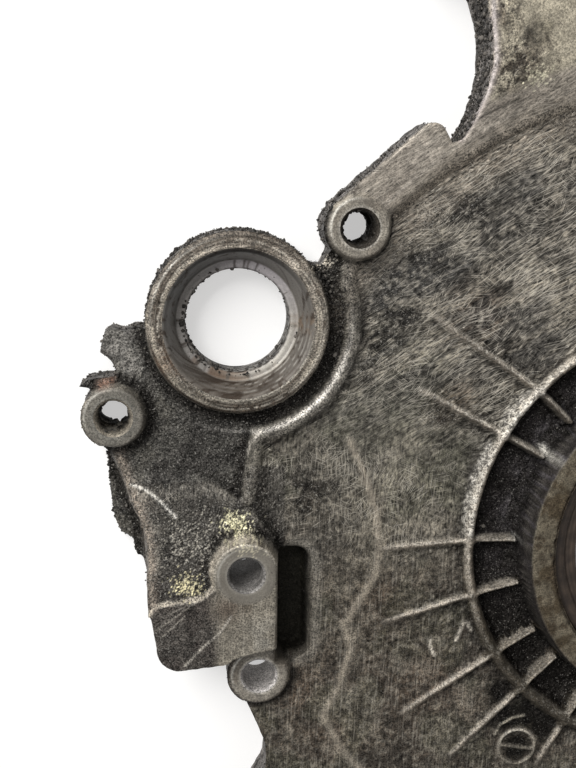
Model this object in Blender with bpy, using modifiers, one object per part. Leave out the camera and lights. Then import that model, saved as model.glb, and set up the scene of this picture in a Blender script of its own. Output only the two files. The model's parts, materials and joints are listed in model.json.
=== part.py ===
"""Engine timing cover: one aluminium casting and the crankshaft seal left in its bore.

Metres, front face up (+Z), gasket face on z = 0. The casting is drawn round the
crankshaft axis and then moved, so that the middle of its footprint is the origin.
"""
import math

import bmesh
import bpy
from mathutils import Matrix, Vector

# Levels above the gasket face
SHELF_LEVEL = 0.0040
WEB_LEVEL = 0.0090
PLATE_LEVEL = 0.0110
BAND_LEVEL = 0.0150
NECK_LEVEL = 0.0165
PAD_LEVEL = 0.0220
HUB_LEVEL = 0.0200
RING_LEVEL = 0.0140
POCKET_LEVEL = 0.0075

# Crankshaft hub with its ring and ribs
HUB_RADIUS = 0.0463
CRANK_BORE_RADIUS = 0.0390
SEAL_STOP_RADIUS = 0.0362
HUB_BACK_LEVEL = 0.0025
HUB_BACK_RADIUS = 0.0620
RING_RADIUS = 0.0600
RING_WIDTH = 0.0043
RIB_WIDTH = 0.0024
RIB_TIP_RISE = 0.0004
# Seen ribs: bearing on the ring, bearing and distance of the outer tip (degrees, metres)
SEEN_RIBS = (
    (136.2, 139.8, 0.0954),
    (150.2, 150.7, 0.0858),
    (178.8, -179.3, 0.0833),
    (-166.5, -165.0, 0.0856),
    (-148.6, -147.4, 0.0914),
    (-136.0, -135.0, 0.0886),
    (-120.1, -119.4, 0.0766),
)
PLAIN_RIB_COUNT = 14
PLAIN_RIB_START = -104.0
PLAIN_RIB_STEP = 16.0
PLAIN_RIB_TIP = 0.0860

# Crankshaft seal
SEAL_CLEARANCE = 0.0003
SEAL_FACE_DEPTH = 0.0026
SEAL_DEPTH = 0.0090
SEAL_WALL = 0.0016
SEAL_LIP_RADIUS = 0.0312
SEAL_LIP_THICKNESS = 0.0016

# Round plate and the flange band that climbs round it
PLATE_RADIUS = 0.1212
STEP_RUN = 0.0036
FLANGE_RADIUS = 0.1265
NECK_EDGE_RADIUS = 0.1286

# Left bore
BORE_CENTRE = (-0.1211, 0.0594)
BORE_OUTER_RADIUS = 0.0229
BORE_EDGE_RADIUS = 0.0187
BORE_MOUTH_RADIUS = 0.0177
BORE_MOUTH_DROP = 0.0008
BORE_SEAT_RADIUS = 0.0152
BORE_SEAT_LEVEL = 0.0080
BORE_THROUGH_RADIUS = 0.0131
BORE_LEVEL = 0.0150
CURVED_RIB_RADIUS = 0.0294
CURVED_RIB_THICKNESS = 0.0023
CURVED_RIB_LEVEL = 0.0106

# Bolt bosses: centre, radius, face level
BOSS_RADIUS = 0.0081
BOLT_HOLE_RADIUS = 0.0043
BOLT_CHAMFER = 0.0006
BOSS_A = (-0.0918, 0.0830)
BOSS_A_LEVEL = 0.0160
BOSS_A_FOOT = 0.0085
BOSS_B = (-0.1521, 0.0361)
BOSS_B_LEVEL = 0.0140
LOW_BOSS = (-0.1157, -0.0341)
LOW_BOSS_RADIUS = 0.0085
LOW_BOSS_LEVEL = 0.0148
NEXT_BOSS = (-0.1130, -0.0785)
NECK_BOSS = (-0.0740, 0.1560)
PLAIN_BOSS_CIRCLE = 0.1238
PLAIN_BOSS_BEARINGS = (40.0, 13.0, -14.0)
PLAIN_BOSS_LEVEL = 0.0158

# Tall pad at the lower left
PAD_BOSS = (-0.1195, -0.0030)
PAD_ROUND_RADIUS = 0.0090
PAD_LEFT = -0.1438
PAD_RIGHT = -0.1100
PAD_BOTTOM = -0.0284
PAD_CORNER_RADIUS = 0.0060
PAD_STEP_Y = -0.0105
RAMP_TOP_Y = 0.0210
RAMP_LOW_LEVEL = 0.0092
RAMP_HIGH_LEVEL = 0.0205
SLOT_WIDTH = 0.0075
SLOT_TOP_Y = -0.0005
SLOT_BOTTOM_Y = -0.0305
SLOT_FLOOR_LEVEL = 0.0035

# Free edges of the web, the broken lug, the broken shelf and the slope, point by point
WEB_LEFT_WALL = ((-0.1450, 0.0002), (-0.1456, 0.0070), (-0.1481, 0.0113), (-0.1514, 0.0206))
WEB_NOTCH = (-0.1000, 0.0735)
BROKEN_LUG = (
    (-0.1607, 0.0430),
    (-0.1586, 0.0448),
    (-0.1547, 0.0454),
    (-0.1520, 0.0457),
    (-0.1514, 0.0471),
    (-0.1524, 0.0493),
    (-0.1537, 0.0506),
    (-0.1553, 0.0518),
    (-0.1547, 0.0546),
    (-0.1540, 0.0570),
    (-0.1522, 0.0579),
    (-0.1492, 0.0570),
    (-0.1468, 0.0581),
)
BROKEN_SHELF = (
    (-0.1472, -0.0036),
    (-0.1484, 0.0012),
    (-0.1513, 0.0030),
    (-0.1530, 0.0069),
    (-0.1538, 0.0135),
    (-0.1542, 0.0223),
    (-0.1540, 0.0300),
)
SHELF_INNER_X = -0.1400
SLOPE_LEFT_WALL = ((-0.1441, -0.0136), (-0.1448, 0.0002), (-0.1454, 0.0069), (-0.1479, 0.0112))
SLOPE_TOP_LEFT_X = -0.1460
SLOPE_TOP_RIGHT_X = -0.1330
SLOPE_SHOULDER = (-0.1190, 0.0130)
CURVED_RIB_END = ((-0.1169, 0.0231), (-0.1186, 0.0125))
LUG_TIP = (-0.0742, 0.1046)
LUG_TIP_RADIUS = 0.0036
LUG_NOTCH = (-0.0695, 0.1035)
LOWER_LEFT_EDGE = ((-0.1136, -0.0640), (-0.1133, -0.0600), (-0.1137, -0.0560), (-0.1160, -0.0500))
PAD_FOOT = ((-0.1184, -0.0254), (-0.1253, -0.0272))
PAD_SHOULDER = ((-0.1308, 0.0015), (-0.1288, 0.0035))
WEB_CORE = (
    (-0.1420, 0.0140),
    (-0.1250, 0.0140),
    (-0.1215, 0.0280),
    (-0.1290, 0.0320),
    (-0.1420, 0.0300),
)

# Neck, sump edge and back
NECK_BITE_X = 0.0960
NECK_BITE_Y = 0.1240
NECK_BITE_RADIUS = 0.0352
NECK_TOP_Y = 0.1860
NECK_HALF = 0.0790
SUMP_Y = -0.1200
SUMP_HALF = 0.1180
SUMP_SHOULDER_Y = -0.0800
EDGE_CORNER_RADIUS = 0.0060
RAIL_WIDTH = 0.0080
CAVITY_RADIUS = 0.0990
CAVITY_LEVEL = 0.0062
CHAIN_WAY_LOW_Y = 0.0750
CHAIN_WAY_HIGH_Y = 0.1500
NECK_CAVITY_LEVEL = 0.0118
NECK_CAVITY_WALL = 0.0045
PAD_CORE_LEVEL = 0.0130
WEB_CORE_LEVEL = 0.0045
PAD_CORE_WALL = 0.0045

# Round mark cast in the plate
MARK_CENTRE = (-0.0433, -0.0604)
MARK_RADIUS = 0.0054
MARK_WIRE = 0.0005

OVERCUT = 0.0010
EDGE_SINK = 0.0004
ROUND_STEPS = 72
MIDDLE_STEPS = 48
SMALL_STEPS = 24
WELD = 0.00001

ALUMINIUM = (0.42, 0.40, 0.37, 1.0)
SEAL_BROWN = (0.055, 0.035, 0.026, 1.0)


def clear_scene():
    """Remove what the scene holds, objects first."""
    for item in list(bpy.data.objects):
        bpy.data.objects.remove(item, do_unlink=True)
    for group in list(bpy.data.collections):
        bpy.data.collections.remove(group)


def new_collection(name):
    """A collection linked to the scene."""
    group = bpy.data.collections.new(name)
    bpy.context.scene.collection.children.link(group)
    return group


def polar(radius, bearing, centre=(0.0, 0.0)):
    """The point at a distance and a bearing in degrees from a centre."""
    angle = math.radians(bearing)
    return (centre[0] + radius * math.cos(angle), centre[1] + radius * math.sin(angle))


def arc(centre, radius, start, end, steps=12):
    """Points on an arc from one bearing to the other, both ends kept."""
    turn = (end - start) / steps
    return [polar(radius, start + turn * index, centre) for index in range(steps + 1)]


def mirrored(points):
    """The points turned over the Y axis, in the opposite order."""
    return [(-x, y) for x, y in reversed(points)]


def store(obj, group):
    """Show a shaping piece as a wire guide in its own collection."""
    for owner in list(obj.users_collection):
        owner.objects.unlink(obj)
    group.objects.link(obj)
    obj.hide_render = True
    obj.display_type = "WIRE"
    return obj


def mesh_from_curve(obj, name, group):
    """Make a closed mesh object of a curve object, and drop the curve."""
    bpy.context.view_layer.update()
    graph = bpy.context.evaluated_depsgraph_get()
    mesh = bpy.data.meshes.new_from_object(obj.evaluated_get(graph))
    work = bmesh.new()
    work.from_mesh(mesh)
    bmesh.ops.remove_doubles(work, verts=work.verts, dist=WELD)
    bmesh.ops.recalc_face_normals(work, faces=work.faces)
    work.to_mesh(mesh)
    work.free()
    solid = bpy.data.objects.new(name, mesh)
    solid.matrix_world = obj.matrix_world.copy()
    bpy.context.scene.collection.objects.link(solid)
    bpy.data.objects.remove(obj, do_unlink=True)
    return store(solid, group)


def slab(name, points, bottom, top, group):
    """A flat outline made solid between two levels."""
    curve = bpy.data.curves.new(name + "_outline", "CURVE")
    curve.dimensions = "2D"
    curve.fill_mode = "BOTH"
    curve.extrude = (top - bottom) / 2.0
    spline = curve.splines.new("POLY")
    spline.points.add(len(points) - 1)
    for target, (x, y) in zip(spline.points, points):
        target.co = (x, y, 0.0, 1.0)
    spline.use_cyclic_u = True
    obj = bpy.data.objects.new(name + "_outline", curve)
    obj.location = (0.0, 0.0, (top + bottom) / 2.0)
    bpy.context.scene.collection.objects.link(obj)
    return mesh_from_curve(obj, name, group)


def tube(name, points, thickness, level, group):
    """A round bar that follows points at one level."""
    curve = bpy.data.curves.new(name + "_path", "CURVE")
    curve.dimensions = "3D"
    curve.bevel_depth = thickness
    curve.bevel_resolution = 2
    curve.use_fill_caps = True
    spline = curve.splines.new("POLY")
    spline.points.add(len(points) - 1)
    for target, (x, y) in zip(spline.points, points):
        target.co = (x, y, level, 1.0)
    obj = bpy.data.objects.new(name + "_path", curve)
    bpy.context.scene.collection.objects.link(obj)
    return mesh_from_curve(obj, name, group)


def turned(name, profile, centre, group, steps=ROUND_STEPS):
    """A profile of (radius, level) points, top to bottom outside, turned about Z."""
    mesh = bpy.data.meshes.new(name)
    verts = [(radius, 0.0, level) for radius, level in profile]
    edges = [(index, index + 1) for index in range(len(verts) - 1)]
    if profile[0][0] > WELD:
        edges.append((len(verts) - 1, 0))
    mesh.from_pydata(verts, edges, [])
    obj = bpy.data.objects.new(name, mesh)
    obj.location = (centre[0], centre[1], 0.0)
    bpy.context.scene.collection.objects.link(obj)
    screw = obj.modifiers.new("turn", "SCREW")
    screw.axis = "Z"
    screw.steps = steps
    screw.render_steps = steps
    screw.use_merge_vertices = True
    screw.merge_threshold = WELD
    return store(obj, group) if group else obj


def column(name, centre, radius, bottom, top, group, chamfer=0.0, steps=SMALL_STEPS):
    """A round post with an optional small chamfer at its top edge."""
    profile = [(0.0, top), (radius - chamfer, top)]
    if chamfer > 0.0:
        profile.append((radius, top - chamfer))
    profile += [(radius, bottom), (0.0, bottom)]
    return turned(name, profile, centre, group, steps)


def bar(name, start, end, width, bottom, start_top, end_top, group):
    """A straight rib whose top narrows and falls from its start to its end."""
    work = bmesh.new()
    bmesh.ops.create_cube(work, size=1.0)
    run = Vector((end[0] - start[0], end[1] - start[1]))
    middle = Vector((start[0] + end[0], start[1] + end[1])) / 2.0
    for vert in work.verts:
        top = end_top if vert.co.x > 0.0 else start_top
        share = 0.62 if vert.co.z > 0.0 else 1.0
        vert.co.z = top if vert.co.z > 0.0 else bottom
        vert.co.y *= width * share
        vert.co.x *= run.length
    turn = Matrix.Rotation(math.atan2(run.y, run.x), 4, "Z")
    work.transform(Matrix.Translation((middle.x, middle.y, 0.0)) @ turn)
    mesh = bpy.data.meshes.new(name)
    work.to_mesh(mesh)
    work.free()
    obj = bpy.data.objects.new(name, mesh)
    bpy.context.scene.collection.objects.link(obj)
    return store(obj, group)


def combine(target, group, operation, label):
    """Join or cut a solid with every shape of a collection."""
    modifier = target.modifiers.new(label, "BOOLEAN")
    modifier.operation = operation
    modifier.operand_type = "COLLECTION"
    modifier.collection = group
    modifier.solver = "MANIFOLD"


def curved_rib_path():
    """Centre line of the rib that bends round the left bore and runs down to the pad."""
    start = (BOSS_A[0] - 0.0014, BOSS_A[1] - BOSS_RADIUS + OVERCUT)
    bend = arc(BORE_CENTRE, CURVED_RIB_RADIUS, 18.0, -80.0, 24)
    return [start] + bend + list(CURVED_RIB_END)


def web_outline():
    """The low web between the left boss, the left bore, the curved rib and the pad."""
    round_boss = arc(BOSS_B, BOSS_RADIUS - EDGE_SINK, 245.0, 123.0, 10)
    round_bore = arc(BORE_CENTRE, BORE_OUTER_RADIUS - EDGE_SINK, 183.0, 40.0, 22)
    foot = arc(BOSS_A, BOSS_A_FOOT, 222.0, 150.0, 6)
    inner = [BOSS_A] + curved_rib_path() + [PAD_BOSS, (PAD_BOSS[0], PAD_STEP_Y)]
    corner = [(PAD_LEFT, PAD_STEP_Y)]
    left = list(WEB_LEFT_WALL) + round_boss + list(BROKEN_LUG)
    return left + round_bore + [WEB_NOTCH] + foot + inner + corner


def lug_edge():
    """Outer edge of the pointed lug between the upper left boss and the neck."""
    tip = arc(LUG_TIP, LUG_TIP_RADIUS, 132.0, 40.0, 6)
    return [polar(BOSS_A_FOOT, 140.0, BOSS_A), polar(BOSS_A_FOOT, 120.0, BOSS_A)] + tip


def neck_left():
    """Left side of the neck: the hollow side, its boss and the top corner."""
    centre = (-NECK_BITE_X, NECK_BITE_Y)
    hollow = arc(centre, NECK_BITE_RADIUS, -34.0, 47.0, 14)
    round_boss = arc(NECK_BOSS, BOSS_RADIUS - EDGE_SINK, 215.0, 120.0, 8)
    corner_centre = (-NECK_HALF + EDGE_CORNER_RADIUS, NECK_TOP_Y - EDGE_CORNER_RADIUS)
    corner = arc(corner_centre, EDGE_CORNER_RADIUS, 180.0, 90.0, 6)
    return hollow + round_boss + corner


def right_side():
    """Right flange, from the neck down to the sump edge."""
    flange = arc((0.0, 0.0), FLANGE_RADIUS, 57.0, -33.0, 30)
    return flange + [(SUMP_HALF, SUMP_SHOULDER_Y)]


def sump_edge():
    """Both lower corners and the sump edge between them."""
    centre = (SUMP_HALF - EDGE_CORNER_RADIUS, SUMP_Y + EDGE_CORNER_RADIUS)
    right = arc(centre, EDGE_CORNER_RADIUS, 0.0, -90.0, 6)
    return right + mirrored(right)


def plate_outline():
    """The main plate with the neck, the flange and the lower left edge."""
    left_edge = arc(NEXT_BOSS, LOW_BOSS_RADIUS - EDGE_SINK, 225.0, 130.0, 8)
    left_edge += list(LOWER_LEFT_EDGE)
    low_boss = arc(LOW_BOSS, LOW_BOSS_RADIUS - EDGE_SINK, 240.0, 180.0, 6)
    inner = [PAD_BOSS] + list(reversed(curved_rib_path())) + [BOSS_A]
    top = lug_edge() + [LUG_NOTCH] + neck_left()
    right = mirrored(neck_left()) + right_side()
    return left_edge + low_boss + inner + top + right + sump_edge()


def band_outline():
    """The raised flange outside the round plate, on the top, the right and the sump."""
    top = lug_edge() + [LUG_NOTCH] + neck_left()
    right = mirrored(neck_left()) + right_side()
    return [BOSS_A] + top + right + sump_edge() + [(-SUMP_HALF, -0.0950), (0.0, 0.0)]


def neck_outline():
    """The part of the neck that stands a little above the flange band."""
    span = math.degrees(math.acos((NECK_BITE_X - NECK_BITE_RADIUS - 0.0002) / NECK_EDGE_RADIUS))
    lower = arc((0.0, 0.0), NECK_EDGE_RADIUS, span, 180.0 - span, 24)
    left = [point for point in neck_left() if math.hypot(*point) > NECK_EDGE_RADIUS + 0.0005]
    return lower + left + mirrored(left)


def pad_outline():
    """The tall pad: a round boss at its upper right and a plain rounded foot."""
    head = arc(PAD_BOSS, PAD_ROUND_RADIUS, 200.0, 8.0, 16)
    right = [(PAD_RIGHT + 0.0006, -0.0215), (PAD_RIGHT - 0.0008, -0.0240)]
    centre = (PAD_LEFT + PAD_CORNER_RADIUS + 0.0016, PAD_BOTTOM + PAD_CORNER_RADIUS)
    corner = arc(centre, PAD_CORNER_RADIUS, 265.0, 175.0, 6)
    step = [(PAD_LEFT + 0.0001, PAD_STEP_Y - 0.0018), (PAD_LEFT + 0.0020, PAD_STEP_Y)]
    shoulder = [(x, PAD_STEP_Y + rise) for x, rise in PAD_SHOULDER]
    return head + right + list(PAD_FOOT) + corner + step + shoulder


def ramp_outline():
    """The sand cast slope that climbs from the web to the pad."""
    top = [(-0.1500, RAMP_TOP_Y - 0.0030), (SLOPE_TOP_LEFT_X, RAMP_TOP_Y)]
    top.append((SLOPE_TOP_RIGHT_X, RAMP_TOP_Y))
    foot = (PAD_BOSS[0], PAD_STEP_Y - 0.0030)
    right = [SLOPE_SHOULDER, (PAD_RIGHT - 0.0015, 0.0040), foot]
    return list(SLOPE_LEFT_WALL) + top + right


def tilt_top(obj, low_y, low_level, high_y, high_level):
    """Give the top of a slab a slope along Y."""
    slope = (high_level - low_level) / (high_y - low_y)
    middle = obj.location.z
    for vert in obj.data.vertices:
        if vert.co.z > 0.0:
            vert.co.z = low_level + (vert.co.y - low_y) * slope - middle


def slot_outline():
    """The deep slot between the tall pad and the plate."""
    left = PAD_RIGHT - 0.0010
    right = PAD_RIGHT + SLOT_WIDTH
    bend = 0.0035
    top = arc((right - bend, SLOT_TOP_Y - bend), bend, 90.0, 0.0, 6)
    foot = arc((right - bend, SLOT_BOTTOM_Y + bend), bend, 0.0, -90.0, 6)
    return [(left, SLOT_TOP_Y)] + top + foot + [(left, SLOT_BOTTOM_Y)]


def shelf_outline():
    """The low broken flange that shows left of the lower left wall."""
    top = BROKEN_SHELF[-1][1]
    bottom = BROKEN_SHELF[0][1]
    return list(BROKEN_SHELF) + [(SHELF_INNER_X, top), (SHELF_INNER_X, bottom)]


def neck_cavity_outline():
    """The hollow behind the neck, where the chain runs up."""
    half = NECK_BITE_X - NECK_BITE_RADIUS - RAIL_WIDTH
    inner = PLATE_RADIUS + NECK_CAVITY_WALL
    span = math.degrees(math.acos(half / inner))
    return arc((0.0, 0.0), inner, span, 180.0 - span, 24) + [
        (-half, NECK_TOP_Y - RAIL_WIDTH),
        (half, NECK_TOP_Y - RAIL_WIDTH),
    ]


def chain_way_outline():
    """The passage behind the flange band that joins both hollows."""
    half = NECK_BITE_X - NECK_BITE_RADIUS - RAIL_WIDTH
    low, high = CHAIN_WAY_LOW_Y, CHAIN_WAY_HIGH_Y
    return [(half, low), (half, high), (-half, high), (-half, low)]


def pad_core_outline():
    """The hollow under the pad and the slope, open at the back."""
    left = PAD_LEFT + PAD_CORE_WALL
    right = PAD_BOSS[0] - PAD_ROUND_RADIUS
    bottom = PAD_BOTTOM + PAD_CORE_WALL
    return [(left, bottom), (right, bottom), (right, 0.0060), (left, 0.0060)]


def bolt_bosses():
    """Every bolt boss with its face level."""
    bosses = [
        (BOSS_A, BOSS_RADIUS, BOSS_A_LEVEL),
        (BOSS_B, BOSS_RADIUS, BOSS_B_LEVEL),
        (LOW_BOSS, LOW_BOSS_RADIUS, LOW_BOSS_LEVEL),
        (NEXT_BOSS, LOW_BOSS_RADIUS, LOW_BOSS_LEVEL),
    ]
    right = [polar(PLAIN_BOSS_CIRCLE, bearing) for bearing in PLAIN_BOSS_BEARINGS]
    right += [(-NEXT_BOSS[0] - 0.004, NEXT_BOSS[1]), NECK_BOSS, (-NECK_BOSS[0], NECK_BOSS[1])]
    bosses += [(centre, BOSS_RADIUS, PLAIN_BOSS_LEVEL) for centre in right]
    corner = SUMP_HALF - BOSS_RADIUS
    for x in (-corner, corner):
        bosses.append(((x, SUMP_Y + BOSS_RADIUS), BOSS_RADIUS, PLAIN_BOSS_LEVEL))
    return bosses


def level_slabs(group):
    """The stacked outlines that give every area of the front its level."""
    slab("plate_area", plate_outline(), 0.0, PLATE_LEVEL, group)
    slab("band_area", band_outline(), 0.0, BAND_LEVEL, group)
    slab("neck_area", neck_outline(), 0.0, NECK_LEVEL, group)
    slab("shelf_area", shelf_outline(), 0.0, SHELF_LEVEL, group)


def recess_cutters(group):
    """The round front recess, the pockets round the hub and the hollows behind."""
    top = NECK_LEVEL + OVERCUT
    slope = STEP_RUN / (BAND_LEVEL - PLATE_LEVEL)
    wide = PLATE_RADIUS + slope * (top - BAND_LEVEL)
    recess = [(0.0, top), (wide, top), (PLATE_RADIUS - STEP_RUN, PLATE_LEVEL), (0.0, PLATE_LEVEL)]
    turned("plate_recess", recess, (0.0, 0.0), group)
    column("hub_pocket", (0.0, 0.0), RING_RADIUS, POCKET_LEVEL, top, group, 0.0, ROUND_STEPS)
    hollow = [
        (HUB_BACK_RADIUS, CAVITY_LEVEL),
        (CAVITY_RADIUS, CAVITY_LEVEL),
        (CAVITY_RADIUS, -OVERCUT),
        (HUB_BACK_RADIUS, -OVERCUT),
    ]
    turned("plate_hollow", hollow, (0.0, 0.0), group)
    column("hub_back", (0.0, 0.0), HUB_BACK_RADIUS + OVERCUT, -OVERCUT, HUB_BACK_LEVEL, group,
           0.0, ROUND_STEPS)
    slab("neck_hollow", neck_cavity_outline(), -OVERCUT, NECK_CAVITY_LEVEL, group)
    slab("chain_way", chain_way_outline(), -OVERCUT, CAVITY_LEVEL, group)
    slab("web_hollow", list(WEB_CORE), -OVERCUT, WEB_CORE_LEVEL, group)


def raised_shapes(group):
    """What stands on the plate and the web: bosses, bore, hub, ring, ribs, slope and pad."""
    for number, (centre, radius, level) in enumerate(bolt_bosses()):
        column("bolt_boss_%d" % number, centre, radius, 0.0, level, group, BOLT_CHAMFER)
    column("bore_boss", BORE_CENTRE, BORE_OUTER_RADIUS, 0.0, BORE_LEVEL, group, BOLT_CHAMFER,
           MIDDLE_STEPS)
    column("hub", (0.0, 0.0), HUB_RADIUS, HUB_BACK_LEVEL, HUB_LEVEL, group, BOLT_CHAMFER, ROUND_STEPS)
    ring = [
        (RING_RADIUS - RING_WIDTH / 4.0, RING_LEVEL),
        (RING_RADIUS + RING_WIDTH / 4.0, RING_LEVEL),
        (RING_RADIUS + RING_WIDTH / 2.0, POCKET_LEVEL - OVERCUT),
        (RING_RADIUS - RING_WIDTH / 2.0, POCKET_LEVEL - OVERCUT),
    ]
    turned("ring_rib", ring, (0.0, 0.0), group)
    tube("curved_rib", curved_rib_path(), CURVED_RIB_THICKNESS, CURVED_RIB_LEVEL, group)
    ramp = slab("slope", ramp_outline(), 0.0, WEB_LEVEL, group)
    tilt_top(ramp, RAMP_TOP_Y, RAMP_LOW_LEVEL, PAD_STEP_Y, RAMP_HIGH_LEVEL)
    slab("tall_pad", pad_outline(), 0.0, PAD_LEVEL, group)


def radial_ribs(group):
    """The straight ribs from the hub across the ring to the plate."""
    ribs = list(SEEN_RIBS)
    for index in range(PLAIN_RIB_COUNT):
        bearing = PLAIN_RIB_START + PLAIN_RIB_STEP * index
        ribs.append((bearing, bearing, PLAIN_RIB_TIP))
    for number, (ring_bearing, tip_bearing, tip_radius) in enumerate(ribs):
        foot = polar(HUB_RADIUS - OVERCUT, ring_bearing)
        node = polar(RING_RADIUS, ring_bearing)
        tip = polar(tip_radius, tip_bearing)
        bottom = POCKET_LEVEL - OVERCUT / 2.0
        crest = RING_LEVEL - RIB_TIP_RISE
        bar("rib_foot_%d" % number, foot, node, RIB_WIDTH, bottom, crest, crest, group)
        bar("rib_%d" % number, node, tip, RIB_WIDTH, bottom, crest, PLATE_LEVEL + RIB_TIP_RISE,
            group)


def cast_mark(group):
    """The plain round mark: a thin raised ring with one bar across it."""
    bpy.ops.mesh.primitive_torus_add(
        location=(MARK_CENTRE[0], MARK_CENTRE[1], PLATE_LEVEL),
        major_radius=MARK_RADIUS,
        minor_radius=MARK_WIRE,
        major_segments=SMALL_STEPS,
        minor_segments=6,
    )
    ring = bpy.context.object
    ring.name = "mark_ring"
    store(ring, group)
    left = polar(MARK_RADIUS, 170.0, MARK_CENTRE)
    right = polar(MARK_RADIUS, -10.0, MARK_CENTRE)
    bar("mark_bar", left, right, MARK_WIRE * 2.0, PLATE_LEVEL - MARK_WIRE, PLATE_LEVEL + MARK_WIRE,
        PLATE_LEVEL + MARK_WIRE, group)


def hole_cutters(group):
    """Bolt holes, both bores, the slot by the pad and the hollow under the pad."""
    holes = [(centre, level) for centre, _, level in bolt_bosses()]
    holes.append((PAD_BOSS, PAD_LEVEL))
    for number, (centre, level) in enumerate(holes):
        wide = BOLT_HOLE_RADIUS + BOLT_CHAMFER + OVERCUT
        profile = [
            (0.0, level + OVERCUT),
            (wide, level + OVERCUT),
            (BOLT_HOLE_RADIUS, level - BOLT_CHAMFER),
            (BOLT_HOLE_RADIUS, -OVERCUT),
            (0.0, -OVERCUT),
        ]
        turned("bolt_hole_%d" % number, profile, centre, group, SMALL_STEPS)
    left_bore = [
        (0.0, BORE_LEVEL + OVERCUT),
        (BORE_EDGE_RADIUS + OVERCUT, BORE_LEVEL + OVERCUT),
        (BORE_EDGE_RADIUS, BORE_LEVEL),
        (BORE_MOUTH_RADIUS, BORE_LEVEL - BORE_MOUTH_DROP),
        (BORE_SEAT_RADIUS, BORE_SEAT_LEVEL),
        (BORE_THROUGH_RADIUS, BORE_SEAT_LEVEL),
        (BORE_THROUGH_RADIUS, -OVERCUT),
        (0.0, -OVERCUT),
    ]
    turned("left_bore", left_bore, BORE_CENTRE, group, MIDDLE_STEPS)
    stop = seal_back_level() - SEAL_CLEARANCE
    crank_bore = [
        (0.0, HUB_LEVEL + OVERCUT),
        (CRANK_BORE_RADIUS, HUB_LEVEL + OVERCUT),
        (CRANK_BORE_RADIUS, stop),
        (SEAL_STOP_RADIUS, stop),
        (SEAL_STOP_RADIUS, -OVERCUT),
        (0.0, -OVERCUT),
    ]
    turned("crank_bore", crank_bore, (0.0, 0.0), group)
    slab("pad_slot", slot_outline(), SLOT_FLOOR_LEVEL, PAD_LEVEL + OVERCUT, group)


def seal_back_level():
    """Level of the seal's back face."""
    return HUB_LEVEL - SEAL_FACE_DEPTH - SEAL_DEPTH


def build_casting(parts, guides):
    """The whole cover: levels, recesses, raised shapes and holes, in that order."""
    casting = slab("cover_casting", web_outline(), 0.0, WEB_LEVEL, parts)
    casting.hide_render = False
    casting.display_type = "TEXTURED"
    level_slabs(guides["levels"])
    recess_cutters(guides["recesses"])
    raised_shapes(guides["raised"])
    radial_ribs(guides["ribs"])
    cast_mark(guides["raised"])
    hole_cutters(guides["holes"])
    slab("pad_hollow", pad_core_outline(), -OVERCUT, PAD_CORE_LEVEL, guides["holes"])
    combine(casting, guides["levels"], "UNION", "levels")
    combine(casting, guides["recesses"], "DIFFERENCE", "recesses")
    combine(casting, guides["raised"], "UNION", "raised")
    combine(casting, guides["ribs"], "UNION", "ribs")
    combine(casting, guides["holes"], "DIFFERENCE", "holes")
    tidy = casting.modifiers.new("weld", "WELD")
    tidy.merge_threshold = WELD * 4.0
    return casting


def build_seal(parts):
    """The rubber covered seal ring: a pressed case, a front web and a sealing lip."""
    outer = CRANK_BORE_RADIUS - SEAL_CLEARANCE
    face = HUB_LEVEL - SEAL_FACE_DEPTH
    back = seal_back_level()
    web = face - SEAL_WALL
    neck = SEAL_LIP_RADIUS + SEAL_LIP_THICKNESS
    profile = [
        (outer - SEAL_WALL * 1.6, face),
        (outer - 0.0005, face),
        (outer, face - 0.0005),
        (outer, back),
        (outer - SEAL_WALL, back),
        (outer - SEAL_WALL, web - SEAL_WALL),
        (neck + 0.0004, web - SEAL_WALL),
        (neck, back + 0.0012),
        (SEAL_LIP_RADIUS + 0.0004, back + 0.0012),
        (SEAL_LIP_RADIUS, back + 0.0022),
        (neck - 0.0004, web),
        (outer - SEAL_WALL * 2.4, web),
    ]
    seal = turned("crank_seal", profile, (0.0, 0.0), None)
    bpy.context.scene.collection.objects.unlink(seal)
    parts.objects.link(seal)
    return seal


def paint(obj, name, colour, roughness, metallic):
    """Give a part its own plain material."""
    material = bpy.data.materials.new(name)
    material.use_nodes = True
    shader = material.node_tree.nodes["Principled BSDF"]
    shader.inputs["Base Color"].default_value = colour
    shader.inputs["Roughness"].default_value = roughness
    shader.inputs["Metallic"].default_value = metallic
    obj.data.materials.clear()
    obj.data.materials.append(material)


def centre_footprint(parts):
    """Hang every object on one empty that puts the footprint's middle on the origin."""
    bpy.context.view_layer.update()
    graph = bpy.context.evaluated_depsgraph_get()
    corners = []
    for obj in parts.objects:
        seen = obj.evaluated_get(graph)
        corners += [seen.matrix_world @ Vector(corner) for corner in seen.bound_box]
    middle_x = (min(c.x for c in corners) + max(c.x for c in corners)) / 2.0
    middle_y = (min(c.y for c in corners) + max(c.y for c in corners)) / 2.0
    axis = bpy.data.objects.new("crank_axis", None)
    bpy.context.scene.collection.objects.link(axis)
    for obj in bpy.data.objects:
        if obj is not axis:
            obj.parent = axis
    axis.location = (-middle_x, -middle_y, 0.0)
    print("crank axis at", round(-middle_x, 6), round(-middle_y, 6))


def build():
    """Build both parts and put the frame's origin under the middle."""
    clear_scene()
    parts = new_collection("timing_cover")
    guides = {name: new_collection("guides_" + name)
              for name in ("levels", "recesses", "raised", "ribs", "holes")}
    casting = build_casting(parts, guides)
    seal = build_seal(parts)
    paint(casting, "cast aluminium", ALUMINIUM, 0.62, 0.7)
    paint(seal, "brown seal rubber", SEAL_BROWN, 0.45, 0.0)
    centre_footprint(parts)


build()
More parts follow.
